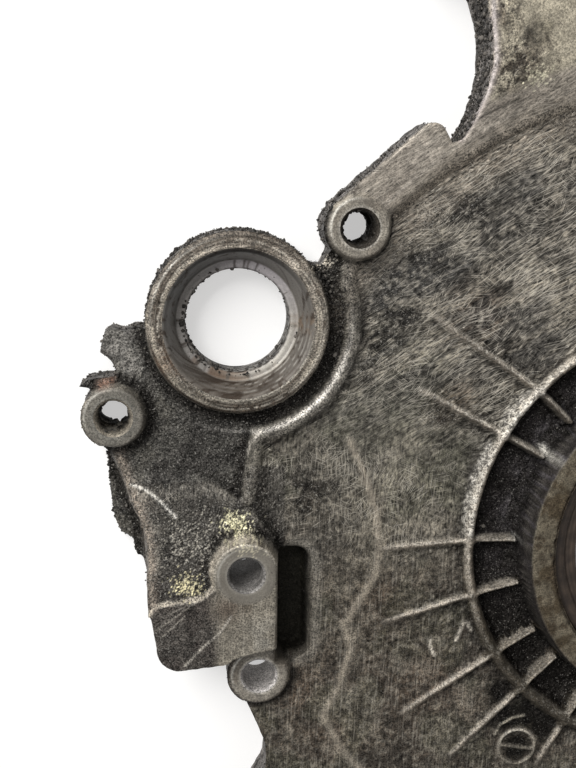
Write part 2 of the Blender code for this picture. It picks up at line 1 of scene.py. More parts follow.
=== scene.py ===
# %% [markdown]
# # A worn timing cover
#
# The object is the front cover of a car engine: one sand cast aluminium piece, lying face up, with
# the old shaft seal still in its crankshaft bore. It is dirty, scratched and partly broken. The
# solids of the part come first, as a fixed frame. This lesson dresses them: it turns the hard
# facets into a casting with fillets, crumbs and wear, and it paints them with node materials.

import json
import math

import bpy
import numpy as np
from mathutils import Matrix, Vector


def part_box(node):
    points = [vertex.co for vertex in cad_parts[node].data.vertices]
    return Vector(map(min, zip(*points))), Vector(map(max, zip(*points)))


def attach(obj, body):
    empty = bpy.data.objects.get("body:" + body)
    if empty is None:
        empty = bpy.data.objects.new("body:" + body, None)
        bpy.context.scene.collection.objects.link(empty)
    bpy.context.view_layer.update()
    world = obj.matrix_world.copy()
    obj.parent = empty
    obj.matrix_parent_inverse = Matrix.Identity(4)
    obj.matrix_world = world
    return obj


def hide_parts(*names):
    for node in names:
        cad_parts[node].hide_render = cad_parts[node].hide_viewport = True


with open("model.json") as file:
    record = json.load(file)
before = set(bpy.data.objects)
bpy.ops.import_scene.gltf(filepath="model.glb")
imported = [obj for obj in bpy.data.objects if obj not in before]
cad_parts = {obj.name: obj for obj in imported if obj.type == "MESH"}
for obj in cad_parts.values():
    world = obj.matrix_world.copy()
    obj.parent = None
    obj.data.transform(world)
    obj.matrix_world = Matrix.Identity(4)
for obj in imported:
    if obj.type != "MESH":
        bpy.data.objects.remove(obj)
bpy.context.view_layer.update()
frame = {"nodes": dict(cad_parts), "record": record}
casting = frame["nodes"]["cover_casting"]
MM = 1000.0
openings = {item["name"]: item["box_m"] for item in frame["record"]["physics"]["openings"]}
seal_low, seal_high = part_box("crank_seal")
AXIS = (np.array(seal_low) + np.array(seal_high))[:2] / 2.0
COVER_LOW, COVER_HIGH = (np.array(corner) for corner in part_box("cover_casting"))
print("crankshaft axis", AXIS, "cover from", COVER_LOW, "to", COVER_HIGH)


# %% [markdown]
# ## Where the machined circles are
#
# The casting has thirteen bolt holes, the stepped bore at the left and the crankshaft bore. They
# could be typed in again, but the record already names the space inside each of them as a box.
# The middle of a box is the middle of its hole, so the circles follow the part if it changes.

# %% Circles of the bores
BOLT_RADIUS = 0.0043
BOLT_CHAMFER = 0.0006
LEFT_EDGE_RADIUS = 0.0187
CRANK_RADIUS = 0.0390


def middle_of(name):
    """Middle of a named opening, seen from above."""
    box = np.array(openings[name])
    return (box[0, :2] + box[1, :2]) / 2.0


bolt_names = sorted(name for name in openings if name.endswith("_bolt"))
circles = [(middle_of(name), BOLT_RADIUS + BOLT_CHAMFER) for name in bolt_names]
circles.append((middle_of("left_bore"), LEFT_EDGE_RADIUS))
circles.append((AXIS, CRANK_RADIUS))
BORE = middle_of("left_bore")
print(len(bolt_names), "bolt holes; left bore at", BORE)


# %% [markdown]
# ## A net of plumb lines
#
# Seen from above the cover has no overhang, so its whole front is a height over each point of the
# plane: z = h(x, y). A subdivided copy of the solid would keep its long thin triangles, and a
# voxel remesh would spend its points evenly. A net of lines lets the part that gets looked at be
# fine, a third of a millimetre, and the rest coarser, and still be one continuous sheet.

# %% The net
FINE = 0.00034
COARSE = 0.0011
MARGIN = 0.0012
FINE_RIGHT, FINE_BELOW, FINE_ABOVE = -0.0235, -0.0715, 0.1405


def spaced(low, fine_low, fine_high, high):
    """Lines from low to high: FINE apart between the two middle values, COARSE outside them, and
    a little past both ends."""
    before = np.arange(fine_low, low - MARGIN, -COARSE)[::-1]
    middle = np.arange(fine_low, fine_high, FINE)
    after = np.arange(middle[-1], high + MARGIN, COARSE)
    return np.concatenate([before[:-1], middle, after[1:]])


net_x = spaced(COVER_LOW[0], COVER_LOW[0] - 0.0013, AXIS[0] + FINE_RIGHT, COVER_HIGH[0])
net_y = spaced(COVER_LOW[1], AXIS[1] + FINE_BELOW, AXIS[1] + FINE_ABOVE, COVER_HIGH[1])
X, Y = np.meshgrid(net_x, net_y)
U = (X - AXIS[0]) * MM
V = (Y - AXIS[1]) * MM
print("net of", X.shape, "lines, points", X.size)


# %% Triangles and plumb lines
def triangles_of(node):
    """Corner points of every triangle of a node, as one array (triangle, corner, axis)."""
    mesh = node.data
    mesh.calc_loop_triangles()
    points = np.empty(len(mesh.vertices) * 3)
    mesh.vertices.foreach_get("co", points)
    corners = np.empty(len(mesh.loop_triangles) * 3, dtype=np.int32)
    mesh.loop_triangles.foreach_get("vertices", corners)
    return points.reshape(-1, 3)[corners.reshape(-1, 3)]


def plumb(triangles, lines_x, lines_y, highest=True):
    """h(x, y): over each net point, the highest (or lowest) z of the triangles that cover it.
    Inside a triangle z = z_a + u (z_b - z_a) + v (z_c - z_a) with u, v >= 0 and u + v <= 1."""
    empty = -1.0 if highest else 1.0
    choose = np.maximum if highest else np.minimum
    height = np.full((len(lines_y), len(lines_x)), empty)
    for a, b, c in triangles:
        area = (b[0] - a[0]) * (c[1] - a[1]) - (b[1] - a[1]) * (c[0] - a[0])
        if abs(area) < 1e-13:
            continue
        i = np.searchsorted(lines_x, (min(a[0], b[0], c[0]), max(a[0], b[0], c[0])))
        j = np.searchsorted(lines_y, (min(a[1], b[1], c[1]), max(a[1], b[1], c[1])))
        if i[0] == i[1] or j[0] == j[1]:
            continue
        x = lines_x[i[0]:i[1]][None, :] - a[0]
        y = lines_y[j[0]:j[1]][:, None] - a[1]
        u = (x * (c[1] - a[1]) - y * (c[0] - a[0])) / area
        v = ((b[0] - a[0]) * y - (b[1] - a[1]) * x) / area
        z = a[2] + u * (b[2] - a[2]) + v * (c[2] - a[2])
        inside = (u >= -1e-7) & (v >= -1e-7) & (u + v <= 1.0 + 1e-7)
        window = height[j[0]:j[1], i[0]:i[1]]
        choose(window, np.where(inside, z, empty), out=window)
    return height


# %% Heights of the solid on the net
def averaged(triangles):
    """Mean of four nets, each moved a quarter of a cell, so a wall seen from above gets a
    smooth edge and no saw teeth. Points that strike nothing are left out of the mean."""
    total = np.zeros(X.shape)
    struck_times = np.zeros(X.shape)
    for move_x, move_y in ((-1, -1), (-1, 1), (1, -1), (1, 1)):
        level = plumb(triangles, net_x + move_x * FINE / 4.0, net_y + move_y * FINE / 4.0)
        total += np.where(level > 0.0, level, 0.0)
        struck_times += level > 0.0
    return np.where(struck_times > 0, total / np.maximum(struck_times, 1), -1.0)


cover_triangles = triangles_of(casting)
solid_height = averaged(cover_triangles)
print(len(cover_triangles), "triangles; levels up to", round(float(solid_height.max()), 5))


# %% [markdown]
# ## The outline
#
# The sheet has to end exactly on the cover's outline and on its holes, or their edges would be
# saw teeth. The outline is the longest ring of edges round the gasket face. For each net point
# its signed distance is worked out, less than zero inside, and the points just outside are
# pulled onto the nearest point of the edge.

# %% Rings of edges on the gasket face
def foot_ring(triangles):
    """The longest closed ring of edges that only one downward facing triangle at z = 0 has."""
    key = np.round(triangles * 1e6).astype(np.int64)
    cross = np.cross(triangles[:, 1] - triangles[:, 0], triangles[:, 2] - triangles[:, 0])
    flat = (np.abs(triangles[:, :, 2]).max(axis=1) < 1e-6) & (cross[:, 2] < 0.0)
    follow = {}
    for corner in key[flat]:
        names = [tuple(point[:2]) for point in corner]
        for start, end in zip(names, names[1:] + names[:1]):
            follow.setdefault(start, set()).add(end)
    edges = {(a, b) for a, ends in follow.items() for b in ends if a not in follow.get(b, ())}
    onward = dict(edges)
    rings = []
    while onward:
        start, point = onward.popitem()
        ring = [start]
        while point != start and point in onward:
            ring.append(point)
            point = onward.pop(point)
        rings.append(np.array(ring) / 1e6)
    return max(rings, key=lambda ring: np.ptp(ring[:, 0]) + np.ptp(ring[:, 1]))


outline = foot_ring(cover_triangles)
print("outline of", len(outline), "points")

# %% Distance to a ring
REACH = 0.0060


def distance_to_ring(ring):
    """d(x, y): shortest distance to the ring's sides within REACH, and the nearest point.
    On a side from a to b the nearest point is a + t (b - a), with t kept between 0 and 1."""
    best = np.full(X.shape, REACH)
    near = np.stack([X, Y])
    for a, b in zip(ring, np.roll(ring, -1, axis=0)):
        i = np.searchsorted(net_x, (min(a[0], b[0]) - REACH, max(a[0], b[0]) + REACH))
        j = np.searchsorted(net_y, (min(a[1], b[1]) - REACH, max(a[1], b[1]) + REACH))
        window = (slice(j[0], j[1]), slice(i[0], i[1]))
        side = b - a
        t = ((X[window] - a[0]) * side[0] + (Y[window] - a[1]) * side[1]) / (side @ side)
        t = np.clip(t, 0.0, 1.0)
        foot_x = a[0] + t * side[0]
        foot_y = a[1] + t * side[1]
        gap = np.hypot(X[window] - foot_x, Y[window] - foot_y)
        closer = gap < best[window]
        best[window] = np.where(closer, gap, best[window])
        near[0][window] = np.where(closer, foot_x, near[0][window])
        near[1][window] = np.where(closer, foot_y, near[1][window])
    return best, near


def within_ring(ring):
    """True where a line along -X crosses the ring an odd number of times."""
    inside = np.zeros(X.shape, dtype=bool)
    ends = np.roll(ring, -1, axis=0)
    for row, y in enumerate(net_y):
        cut = (ring[:, 1] > y) != (ends[:, 1] > y)
        share = (y - ring[cut, 1]) / (ends[cut, 1] - ring[cut, 1])
        crossings = np.sort(ring[cut, 0] + share * (ends[cut, 0] - ring[cut, 0]))
        inside[row] = np.searchsorted(crossings, net_x) % 2 == 1
    return inside


edge_gap, nearest = distance_to_ring(outline)
outline_gap = np.where(within_ring(outline), -edge_gap, edge_gap)
print("net points within the outline", int((outline_gap < 0.0).sum()))

# %% Signed distance to the outline and the holes
signed = outline_gap.copy()
hole_gap = np.full(X.shape, REACH)
for centre, radius in circles:
    from_centre = np.hypot(X - centre[0], Y - centre[1])
    gap = radius - from_centre
    hole_gap = np.minimum(hole_gap, -gap)
    outward = np.stack([X - centre[0], Y - centre[1]]) * radius / np.maximum(from_centre, 1e-9)
    on_circle = np.array(centre)[:, None, None] + outward
    take = gap > signed
    nearest = np.where(take, on_circle, nearest)
    signed = np.where(take, gap, signed)
metal = signed < 0.0
print("net points on metal", int(metal.sum()))


# %% [markdown]
# ## From facets to a casting
#
# Sand moulds give every inner corner a fillet and every outer corner a soft edge. A bevel
# can't be used on a solid with so many crossing shapes. Smoothing the height with a bell curve
# does both at once, at any width. Machined faces are left sharp: a wide blur may only raise the
# foot of their walls, and never wears down their edge.

# %% Smoothing with a bell curve
def bell(line, width):
    """Weights between all pairs of lines: exp(-(gap / width)^2 / 2) times the line's own span."""
    gap = (line[:, None] - line[None, :]) / width
    return np.exp(-0.5 * gap * gap) * np.gradient(line)[None, :]


def smooth(field, width, where=None):
    """Bell curve average of a field over the metal only, so the table doesn't pull it down."""
    where = metal if where is None else where
    rows = bell(net_y, width)
    columns = bell(net_x, width).T
    total = rows @ (field * where) @ columns
    weight = rows @ where.astype(float) @ columns
    return total / np.maximum(weight, 1e-12)


def step(low, high, value):
    """Rises smoothly from 0 at low to 1 at high: t * t * (3 - 2 t)."""
    t = np.clip((value - low) / (high - low), 0.0, 1.0)
    return t * t * (3.0 - 2.0 * t)


def drop(low, high, value):
    """Falls smoothly from 1 at low to 0 at high."""
    return 1.0 - step(low, high, value)


def softened(mask, width):
    """A mask with its border blurred over a width."""
    return np.clip(smooth(mask, width), 0.0, 1.0)


struck = metal & (solid_height > 0.0)
solid_height = np.where(struck, solid_height, smooth(solid_height, 0.0005, struck))
sharp = smooth(solid_height, 0.00028)
fillet = smooth(solid_height, 0.00085)
crisp_cast = np.maximum(sharp, fillet)
soft_cast = 0.35 * sharp + 0.65 * smooth(solid_height, 0.00062)
print("fillets raise the surface by up to", round(float((crisp_cast - sharp)[metal].max()), 5))

# %% Random fields
def cells(x, y, size, seed):
    """Smooth random field: each crossing of a grid `size` wide has a random value, and between
    them the value goes with s(t) = t * t * (3 - 2 t) in both directions."""
    table = np.random.default_rng(seed).random((256, 256))
    u = x / size
    v = y / size
    i = np.floor(u).astype(int)
    j = np.floor(v).astype(int)
    s = (u - i) ** 2 * (3.0 - 2.0 * (u - i))
    t = (v - j) ** 2 * (3.0 - 2.0 * (v - j))
    i0, i1, j0, j1 = i % 256, (i + 1) % 256, j % 256, (j + 1) % 256
    low = table[j0, i0] * (1.0 - s) + table[j0, i1] * s
    high = table[j1, i0] * (1.0 - s) + table[j1, i1] * s
    return low * (1.0 - t) + high * t


def clouds(x, y, size, seed, layers=4):
    """Sum of random fields, each half as wide and half as strong as the last, from 0 to 1."""
    total = np.zeros(np.shape(x))
    share = 0.0
    for layer in range(layers):
        turn = 0.6 * layer + 0.3
        a = x * math.cos(turn) - y * math.sin(turn)
        b = x * math.sin(turn) + y * math.cos(turn)
        total += cells(a, b, size / 2.0 ** layer, seed + layer) * 0.5 ** layer
        share += 0.5 ** layer
    return total / share


# %% [markdown]
# ## Regions of the front
#
# The cover's areas were finished in different ways: the round plate and the flange are skimmed
# and scratched, the web and the slope at the left are raw sand casting, and the bosses, the bore
# and the hub are turned. Each area is a mask from 0 to 1 on the net, taken from the height and
# from the place, in millimetres from the crankshaft axis.

# %% Soft marks
R = np.hypot(U, V)
LEVEL = solid_height * MM
WEB_TOP, PLATE_LOW, PLATE_TOP, RIB_TOP = 10.2, 10.5, 11.8, 14.6
BAND_LOW, NECK_LOW, PAD_LOW = 14.2, 15.6, 21.4


def spot(u, v, radius):
    """Round soft mark: exp(-(distance / radius)^2)."""
    return np.exp(-((U - u) ** 2 + (V - v) ** 2) / radius ** 2)


def stroke(points, half_width):
    """Soft mark along a path of points: exp(-(distance to the path / half width)^2)."""
    best = np.full(U.shape, 1e9)
    for (au, av), (bu, bv) in zip(points, points[1:]):
        du, dv = bu - au, bv - av
        t = np.clip(((U - au) * du + (V - av) * dv) / (du * du + dv * dv), 0.0, 1.0)
        best = np.minimum(best, (U - au - t * du) ** 2 + (V - av - t * dv) ** 2)
    return np.exp(-best / half_width ** 2)


def ring_mark(centre, radius, half_width, bearing=0.0, spread=1000.0):
    """Soft circle round a centre given in metres: exp(-((distance - radius) / half width)^2),
    strongest towards a bearing in degrees and fading over the spread."""
    away = np.hypot(X - centre[0], Y - centre[1]) * MM
    turn = np.degrees(np.arctan2(Y - centre[1], X - centre[0])) - bearing
    turn = (turn + 180.0) % 360.0 - 180.0
    return np.exp(-((away - radius) / half_width) ** 2 - (turn / spread) ** 2)


# %% Masks of the areas
bolt_gap = np.full(X.shape, 99.0)
for name in bolt_names:
    centre = middle_of(name)
    bolt_gap = np.minimum(bolt_gap, np.hypot(X - centre[0], Y - centre[1]) * MM)
bore_away = np.hypot(X - BORE[0], Y - BORE[1]) * MM
boss_face = drop(7.2, 8.0, bolt_gap)
bore_face = drop(22.0, 22.9, bore_away)
hub_face = drop(45.6, 46.3, R)
pad_face = step(PAD_LOW, 21.9, LEVEL)
turned_area = np.maximum.reduce([boss_face, bore_face, hub_face])
machined = np.maximum(turned_area, pad_face)
pockets = drop(58.6, 60.0, R) * drop(9.5, 12.5, LEVEL) * step(45.8, 46.6, R)
raw_web = (LEVEL < WEB_TOP) * (U < -85.0) * 1.0
sloped = (LEVEL >= WEB_TOP) & (LEVEL < PAD_LOW) & (U < -109.0) & (V < 22.0) & (V > -12.0)
slope = sloped * (1.0 - boss_face)
raw_cast = softened(raw_web + slope, 0.0005) * (1.0 - machined)
slot_floor = (LEVEL < 6.5) & (U > -112.0) & (U < -100.0) & (V < 2.0) & (V > -34.0)
slot_floor = softened(slot_floor * 1.0, 0.0005)
neck_top = (LEVEL > NECK_LOW) * (R > 127.0) * (V > 60.0) * (1.0 - boss_face)
neck_top = softened(neck_top, 0.0006)
band = (LEVEL > BAND_LOW) * (R > 118.0) * (1.0 - neck_top) * (1.0 - boss_face) * (U > -100.0)
plate = ((LEVEL > PLATE_LOW) & (LEVEL < PLATE_TOP) & (R > 62.0)) * 1.0
ribbed = (LEVEL > 11.25) & (LEVEL < RIB_TOP) & (R > 46.4) & (R < 97.0)
ribbed = softened(ribbed * 1.0, 0.0004)
print("masks ready; raw casting covers", round(float(raw_cast[metal].mean()), 3))

# %% Paths of cast and worn marks and of painted shade and highlights on the front, in millimetres from the crankshaft axis
WORN_LINE = [(-92.1, 28.2), (-88.6, 20.1), (-84.9, 10.0), (-83.9, -2.0), (-84.4, -8.4),
             (-90.3, -18.2), (-92.6, -22.3), (-90.8, -28.9), (-93.6, -39.6), (-97.9, -48.5),
             (-92.9, -58.5), (-87.1, -65.5)]
SLOPE_EDGE = [(-150.9, 25.2), (-149.4, 19.5), (-147.4, 14.6), (-144.9, 8.6), (-143.6, 3.0),
              (-143.4, -4.0), (-143.0, -10.4)]
GUSSET = [(-148.2, 17.9), (-144.4, 16.5), (-140.7, 13.6), (-137.0, 9.9)]
PAD_SCRATCHES = [[(-142.0, -16.8), (-131.2, -9.1)], [(-141.0, -19.0), (-135.0, -13.4)],
                 [(-138.7, -12.8), (-131.2, -8.8)]]
PAD_GOUGE = [(-135.0, -26.8), (-130.6, -22.0), (-126.2, -18.2), (-123.4, -13.9)]
DATE_CENTRE = (-43.3, -60.3)
DATE_RADIUS = 5.1
DATE_BAR = [(-48.0, -59.6), (-39.0, -61.2)]
DATE_ARC = [(-49.6, -56.4), (-48.3, -53.6), (-45.0, -51.6), (-41.7, -51.0)]
SLOT_SHADE = [(-112.4, 1.6), (-108.0, -0.8), (-104.4, -4.6)]
RING_CRUSTS = [[(-51.9, 31.2), (-50.0, 35.1), (-46.8, 38.5), (-43.2, 41.2)],
               [(-60.4, 3.6), (-60.2, 11.0), (-58.9, 17.8), (-57.0, 22.7), (-55.4, 26.4)]]
NECK_CRACKS = [[(-55.7, 134.4), (-54.6, 131.7), (-54.7, 129.0), (-52.8, 125.9), (-51.1, 122.8)],
               [(-49.9, 131.0), (-48.0, 127.8), (-45.8, 124.0), (-43.9, 121.6)]]
SHORT_SCRATCHES = [[(-69.1, -27.5), (-68.9, -29.6), (-67.8, -31.9)],
                   [(-60.2, -22.9), (-61.9, -27.8)], [(-59.1, -22.6), (-57.9, -25.0)]]
NECK_CRACK = [(-66.6, 105.4), (-63.2, 109.2), (-59.3, 111.4), (-54.0, 113.8)]
NECK_EDGE = [(-61.6, 136.0), (-61.2, 131.6), (-60.1, 122.6), (-61.5, 115.6), (-63.9, 110.6),
             (-67.3, 104.6)]


# %% Date mark and sprinkled grains
def date_mark(half_width):
    """The small cast ring with a bar across and a part of a second ring beside it."""
    away = np.hypot(U - DATE_CENTRE[0], V - DATE_CENTRE[1])
    ring = np.exp(-((away - DATE_RADIUS) / half_width) ** 2)
    return np.maximum.reduce([ring, stroke(DATE_BAR, half_width), stroke(DATE_ARC, half_width)])


def sprinkle(field, chance, count, low, high, height, seed):
    """Half round crumbs on a field: at random points, likelier where chance is high, z rises by
    height * r * sqrt(1 - (d / r)^2) for a crumb of radius r."""
    random = np.random.default_rng(seed)
    weight = np.cumsum((chance * metal * np.gradient(net_x)[None, :]
                        * np.gradient(net_y)[:, None]).ravel())
    picks = np.searchsorted(weight, random.random(count) * weight[-1])
    rows, columns = np.unravel_index(picks, field.shape)
    out = field.copy()
    for row, column, radius in zip(rows, columns, random.uniform(low, high, count)):
        span = int(radius / FINE) + 2
        window = (slice(max(row - span, 0), row + span + 1),
                  slice(max(column - span, 0), column + span + 1))
        away = ((X[window] - X[row, column]) ** 2 + (Y[window] - Y[row, column]) ** 2) / radius ** 2
        bump = field[row, column] + height * radius * np.sqrt(np.clip(1.0 - away, 0.0, 1.0))
        rise = np.where(away < 1.0, bump, out[window])
        out[window] = np.maximum(out[window], rise)
    return out


# %% Height of the dressed front
height = soft_cast + (crisp_cast - soft_cast) * softened(machined, 0.0008)
HUB_SHOULDER, HUB_FOOT = 44.9, 46.6
HUB_TOP, POCKET_FLOOR = 0.0200, 0.0090
hub_drop = np.clip((R - HUB_SHOULDER) / (HUB_FOOT - HUB_SHOULDER), 0.0, 1.0)
hub_slope = HUB_TOP - 0.0012 * hub_drop ** 2 - 0.0098 * step(0.30, 1.0, hub_drop)
hub_edge = (R > 43.0) & (R < 47.2)
height = np.where(hub_edge, np.minimum(height, np.maximum(hub_slope, POCKET_FLOOR)), height)
neck_seam = spot(-45.0, 116.0, 34.0) * drop(7.0, 10.0, np.abs(R - 127.5))
height = height + (smooth(height, 0.0034) - height) * np.clip(neck_seam * 1.6, 0.0, 1.0)
around = smooth(height, 0.0016)
concave = np.clip((around - height) / 0.0006, 0.0, 1.0)
convex = np.clip((height - around) / 0.00035, 0.0, 1.0)
print("fillets, hub shoulder and neck seam made")

# %% Grain, crust and grime in the height
quiet = 1.0 - machined
grain = clouds(X, Y, 0.0008, 11, 2) - 0.5
coarse_grain = clouds(X, Y, 0.0021, 14, 3) - 0.5
swell = clouds(X, Y, 0.0140, 21, 4) - 0.5
fine = clouds(X, Y, 0.0010, 37, 2)
pits = step(0.60, 0.76, clouds(X, Y, 0.0019, 31, 3))
rough_cast = np.clip(raw_cast + pockets, 0.0, 1.0) * (1.0 - 0.6 * slot_floor)
height = height + quiet * (0.00005 * grain + 0.00012 * swell)
height = height + rough_cast * (0.00016 * grain + 0.00020 * coarse_grain + 0.00020 * swell)
height = height + ribbed * convex * 0.00050 * coarse_grain
holes = step(0.54, 0.66, clouds(X, Y, 0.0013, 33, 3))
height = height - neck_top * holes * spot(-55.0, 120.0, 10.0) * 0.00030
crust = np.maximum(stroke(RING_CRUSTS[0], 1.5), stroke(RING_CRUSTS[1], 1.1)) * (LEVEL < 14.5)
flaking = clouds(X, Y, 0.0012, 35, 3)
flakes = step(0.46, 0.58, flaking)
height = height + crust * (0.00035 * flakes - 0.00010)
height = height - hub_face * pits * 0.00012
height = height + plate * 0.00028 * stroke(WORN_LINE, 1.1)
height = height + 0.00045 * date_mark(0.42) * (R > 61.0)
height = height + 0.00035 * stroke(GUSSET, 0.9) * slope
grime_spots = np.clip(concave * 1.2, 0.0, 1.0) * quiet * (1.0 - slot_floor)
height = sprinkle(height, rough_cast * 0.3, 5200, 0.00030, 0.00055, 0.50, 5)
height = sprinkle(height, grime_spots ** 2 * (U < 10.0), 5200, 0.00035, 0.00070, 0.70, 6)
edge_round = 0.0011 * (1.0 - 0.55 * machined)
edge_depth = np.clip(1.0 + outline_gap / edge_round, 0.0, 1.0)
height = height - edge_round * (1.0 - np.sqrt(1.0 - edge_depth ** 2)) * 0.8
print("front from %.5f to %.5f m" % (height[metal].min(), height[metal].max()))


# %% [markdown]
# ## Colour on the net
#
# Corners are painted darker and crests lighter. The ribs and the machined edges also get painted
# highlights on their sides towards the window and painted shade on the other sides. All of this is
# known from the height and the place, so the base colour is worked out on the net and kept
# as a colour attribute. The fine scratches, grains and specks are left to the material.

# %% Colour helpers
def linear(red, green, blue):
    """Screen colour 0 to 255 as light: ((c + 0.055) / 1.055)^2.4, or c / 12.92 when dark."""
    c = np.array((red, green, blue)) / 255.0
    return np.where(c > 0.04045, ((c + 0.055) / 1.055) ** 2.4, c / 12.92)


def lay(base, colour, cover):
    """Put a colour over the base: base * (1 - cover) + colour * cover."""
    cover = np.clip(cover, 0.0, 1.0)[..., None]
    return base * (1.0 - cover) + linear(*colour) * cover


def coat(colour, cover):
    """Lay one more colour over the front, where cover is above 0."""
    tone[:] = lay(tone, colour, cover)


def spots(rows):
    """The strongest of several round marks, each given as (u, v, radius)."""
    return np.maximum.reduce([spot(u, v, radius) for u, v, radius in rows])


# %% Plate
DARK_PATCHES = [(-80.4, 63.4, 7.6), (-84.7, 54.0, 6.4), (-80.5, 70.0, 5.0), (-75.7, 77.4, 5.0),
                (-40.2, 107.4, 4.4), (-63.7, 90.2, 4.9), (-50.1, 40.1, 3.5), (-68.9, 35.0, 3.5),
                (-104.8, -3.6, 4.9), (-72.0, 84.0, 5.0), (-103.0, 14.0, 6.5), (-87.0, 46.0, 4.0)]
LIGHT_PATCHES = [(-55.5, 81.2, 5.9), (-43.3, 72.4, 7.4), (-65.7, 52.0, 5.4), (-77.6, 20.5, 8.4),
                 (-73.1, 5.3, 5.4), (-91.1, -20.9, 4.4), (-91.9, -45.7, 4.9), (-92.3, -26.6, 3.0)]
BROWN_PATCHES = [(-104.3, -40.7, 6.4), (-81.8, -15.5, 5.4), (-95.9, -54.4, 5.9),
                 (-70.0, -40.0, 9.0), (-60.0, 60.0, 8.0), (-64.0, 40.0, 6.0)]
patch = clouds(X, Y, 0.026, 41, 5)
blotch = clouds(X, Y, 0.0055, 45, 4)
streaky = clouds(X * 0.87 + Y * 0.5, (Y * 0.87 - X * 0.5) * 4.0, 0.016, 51, 4)
fallen = clouds(X * 4.0, Y, 0.018, 56, 4)
tone = np.ones(X.shape + (3,)) * linear(86, 81, 74)
coat((64, 62, 59), step(0.48, 0.68, patch) * 0.75)
coat((124, 117, 103), step(0.54, 0.74, 1.0 - patch) * 0.60)
coat((112, 112, 97), spot(-78.0, 34.0, 24.0) * 0.45)
coat((78, 69, 59), drop(-22.0, 6.0, V) * 0.70)
darkened = np.clip(1.25 * spots(DARK_PATCHES), 0.0, 1.0) * step(0.20, 0.50, blotch)
coat((31, 30, 30), darkened * 0.97)
coat((150, 142, 128), spots(LIGHT_PATCHES) * step(0.34, 0.66, 1.0 - blotch) * 0.75)
coat((106, 89, 74), spots(BROWN_PATCHES) * 0.55)
coat((66, 65, 64), step(0.50, 0.66, streaky) * 0.65 * step(20.0, 50.0, V))
coat((134, 127, 114), step(0.54, 0.70, 1.0 - streaky) * 0.45 * step(20.0, 50.0, V))
coat((60, 53, 46), step(0.54, 0.72, fallen) * 0.50 * drop(-4.0, 20.0, V))
coat((126, 116, 102), step(0.56, 0.72, 1.0 - fallen) * 0.40 * drop(-4.0, 20.0, V))
coat((48, 46, 44), step(0.54, 0.68, blotch) * 0.35)
coat((140, 133, 120), step(0.58, 0.72, 1.0 - blotch) * 0.30)
coat((78, 80, 64), step(0.48, 0.62, clouds(X, Y, 0.011, 47, 4)) * 0.35 * drop(20.0, 50.0, V))
coat((36, 34, 32), step(0.54, 0.68, fine) * 0.55)
coat((150, 143, 130), step(0.58, 0.72, 1.0 - fine) * 0.30)
coat((46, 42, 36), plate * drop(34.0, 60.0, V) * 0.22)
coat((30, 28, 26), stroke(SLOT_SHADE, 2.0) * 0.92)
print("plate painted")

# %% Band and neck
NECK_STAINS = [(-56.0, 122.0, 8.0), (-57.0, 113.0, 6.0), (-60.0, 134.0, 5.0)]
coat((148, 139, 125), stroke(WORN_LINE, 1.0) * plate * 0.80)
coat((140, 132, 122), band * 0.80)
coat((104, 96, 87), band * step(0.52, 0.66, streaky) * 0.60)
coat((164, 156, 146), spots([(-75.0, 99.3, 6.0), (-63.0, 106.5, 6.0)]) * band * 0.6)
coat((168, 160, 142), neck_top * 0.95)
neck_left = neck_top * np.clip(spots(NECK_STAINS), 0.0, 1.0)
coat((124, 112, 98), neck_left * step(0.42, 0.60, blotch) * 0.8)
coat((136, 129, 110), neck_top * step(0.56, 0.70, blotch) * 0.5)
coat((84, 76, 64), neck_left * step(0.54, 0.66, fine) * 0.7)
coat((52, 46, 40), neck_top * holes * np.clip(1.3 * neck_left - 0.05, 0.0, 0.9))
for path in NECK_CRACKS:
    coat((62, 56, 48), stroke(path, 0.40) * step(0.35, 0.55, fine) * 0.8)
coat((34, 31, 28), stroke(NECK_CRACK, 0.40) * 0.9)
for path in SHORT_SCRATCHES:
    coat((204, 196, 182), stroke(path, 0.42) * 0.9)
coat((60, 56, 50), neck_top * spots([(-53.6, 128.4, 3.5), (-54.3, 118.2, 3.0)])
     * step(0.35, 0.60, blotch))
print("band and neck painted")

# %% Raw casting, pockets and hub
coat((75, 73, 69), raw_cast * 0.97)
coat((44, 42, 41), raw_cast * step(0.48, 0.66, blotch) * 0.60)
coat((84, 81, 74), raw_cast * step(0.54, 0.72, 1.0 - blotch) * 0.55)
coat((60, 57, 53), slope * 0.65)
coat((108, 100, 90), spot(-146.5, 13.5, 2.8) * slope * 0.6)
broken_lug = spot(-150.8, 53.6, 4.2) + spot(-147.8, 48.0, 3.4)
coat((118, 115, 110), np.clip(broken_lug, 0.0, 1.0) * (1.0 - bore_face) * 0.88)
# The pockets are painted near black, darker still towards the bottom, with some pale specks higher
# up.
coat((46, 43, 43), pockets)
coat((26, 24, 22), pockets * drop(-24.0, -4.0, V) * 0.85)
coat((92, 88, 91), pockets * step(0.42, 0.58, blotch) * 0.80 * step(-6.0, 10.0, V)
     * drop(48.0, 53.0, R))
coat((26, 24, 22), pockets * spot(-51.0, 15.5, 4.0) * 0.8)
# Painted shade on the hub's steep wall, dark like the pockets and darker towards the bottom, with a
# few pale specks.
shaded_hub_wall = step(44.8, 45.6, R) * drop(47.0, 49.0, R)
coat((44, 41, 42), shaded_hub_wall * 0.95)
coat((88, 84, 90), shaded_hub_wall * step(0.54, 0.64, fine) * step(-10.0, 12.0, V) * 0.6)
coat((28, 26, 25), shaded_hub_wall * drop(-34.0, -8.0, V) * 0.7)
hub_top = drop(HUB_SHOULDER - 0.2, HUB_SHOULDER + 0.5, R)
coat((104, 96, 81), hub_top)
coat((158, 149, 130), ring_mark(AXIS, 44.2, 0.8, 160.0, 34.0) * step(0.3, 0.6, blotch) * 0.6)
coat((76, 66, 51), hub_top * step(0.44, 0.60, blotch) * 0.9)
coat((56, 48, 38), hub_top * step(0.54, 0.64, fine) * 0.5)
coat((64, 55, 44), hub_top * pits * 0.8)
coat((36, 31, 27), ring_mark(AXIS, 39.3, 0.35))
print("raw casting, pockets and hub painted")

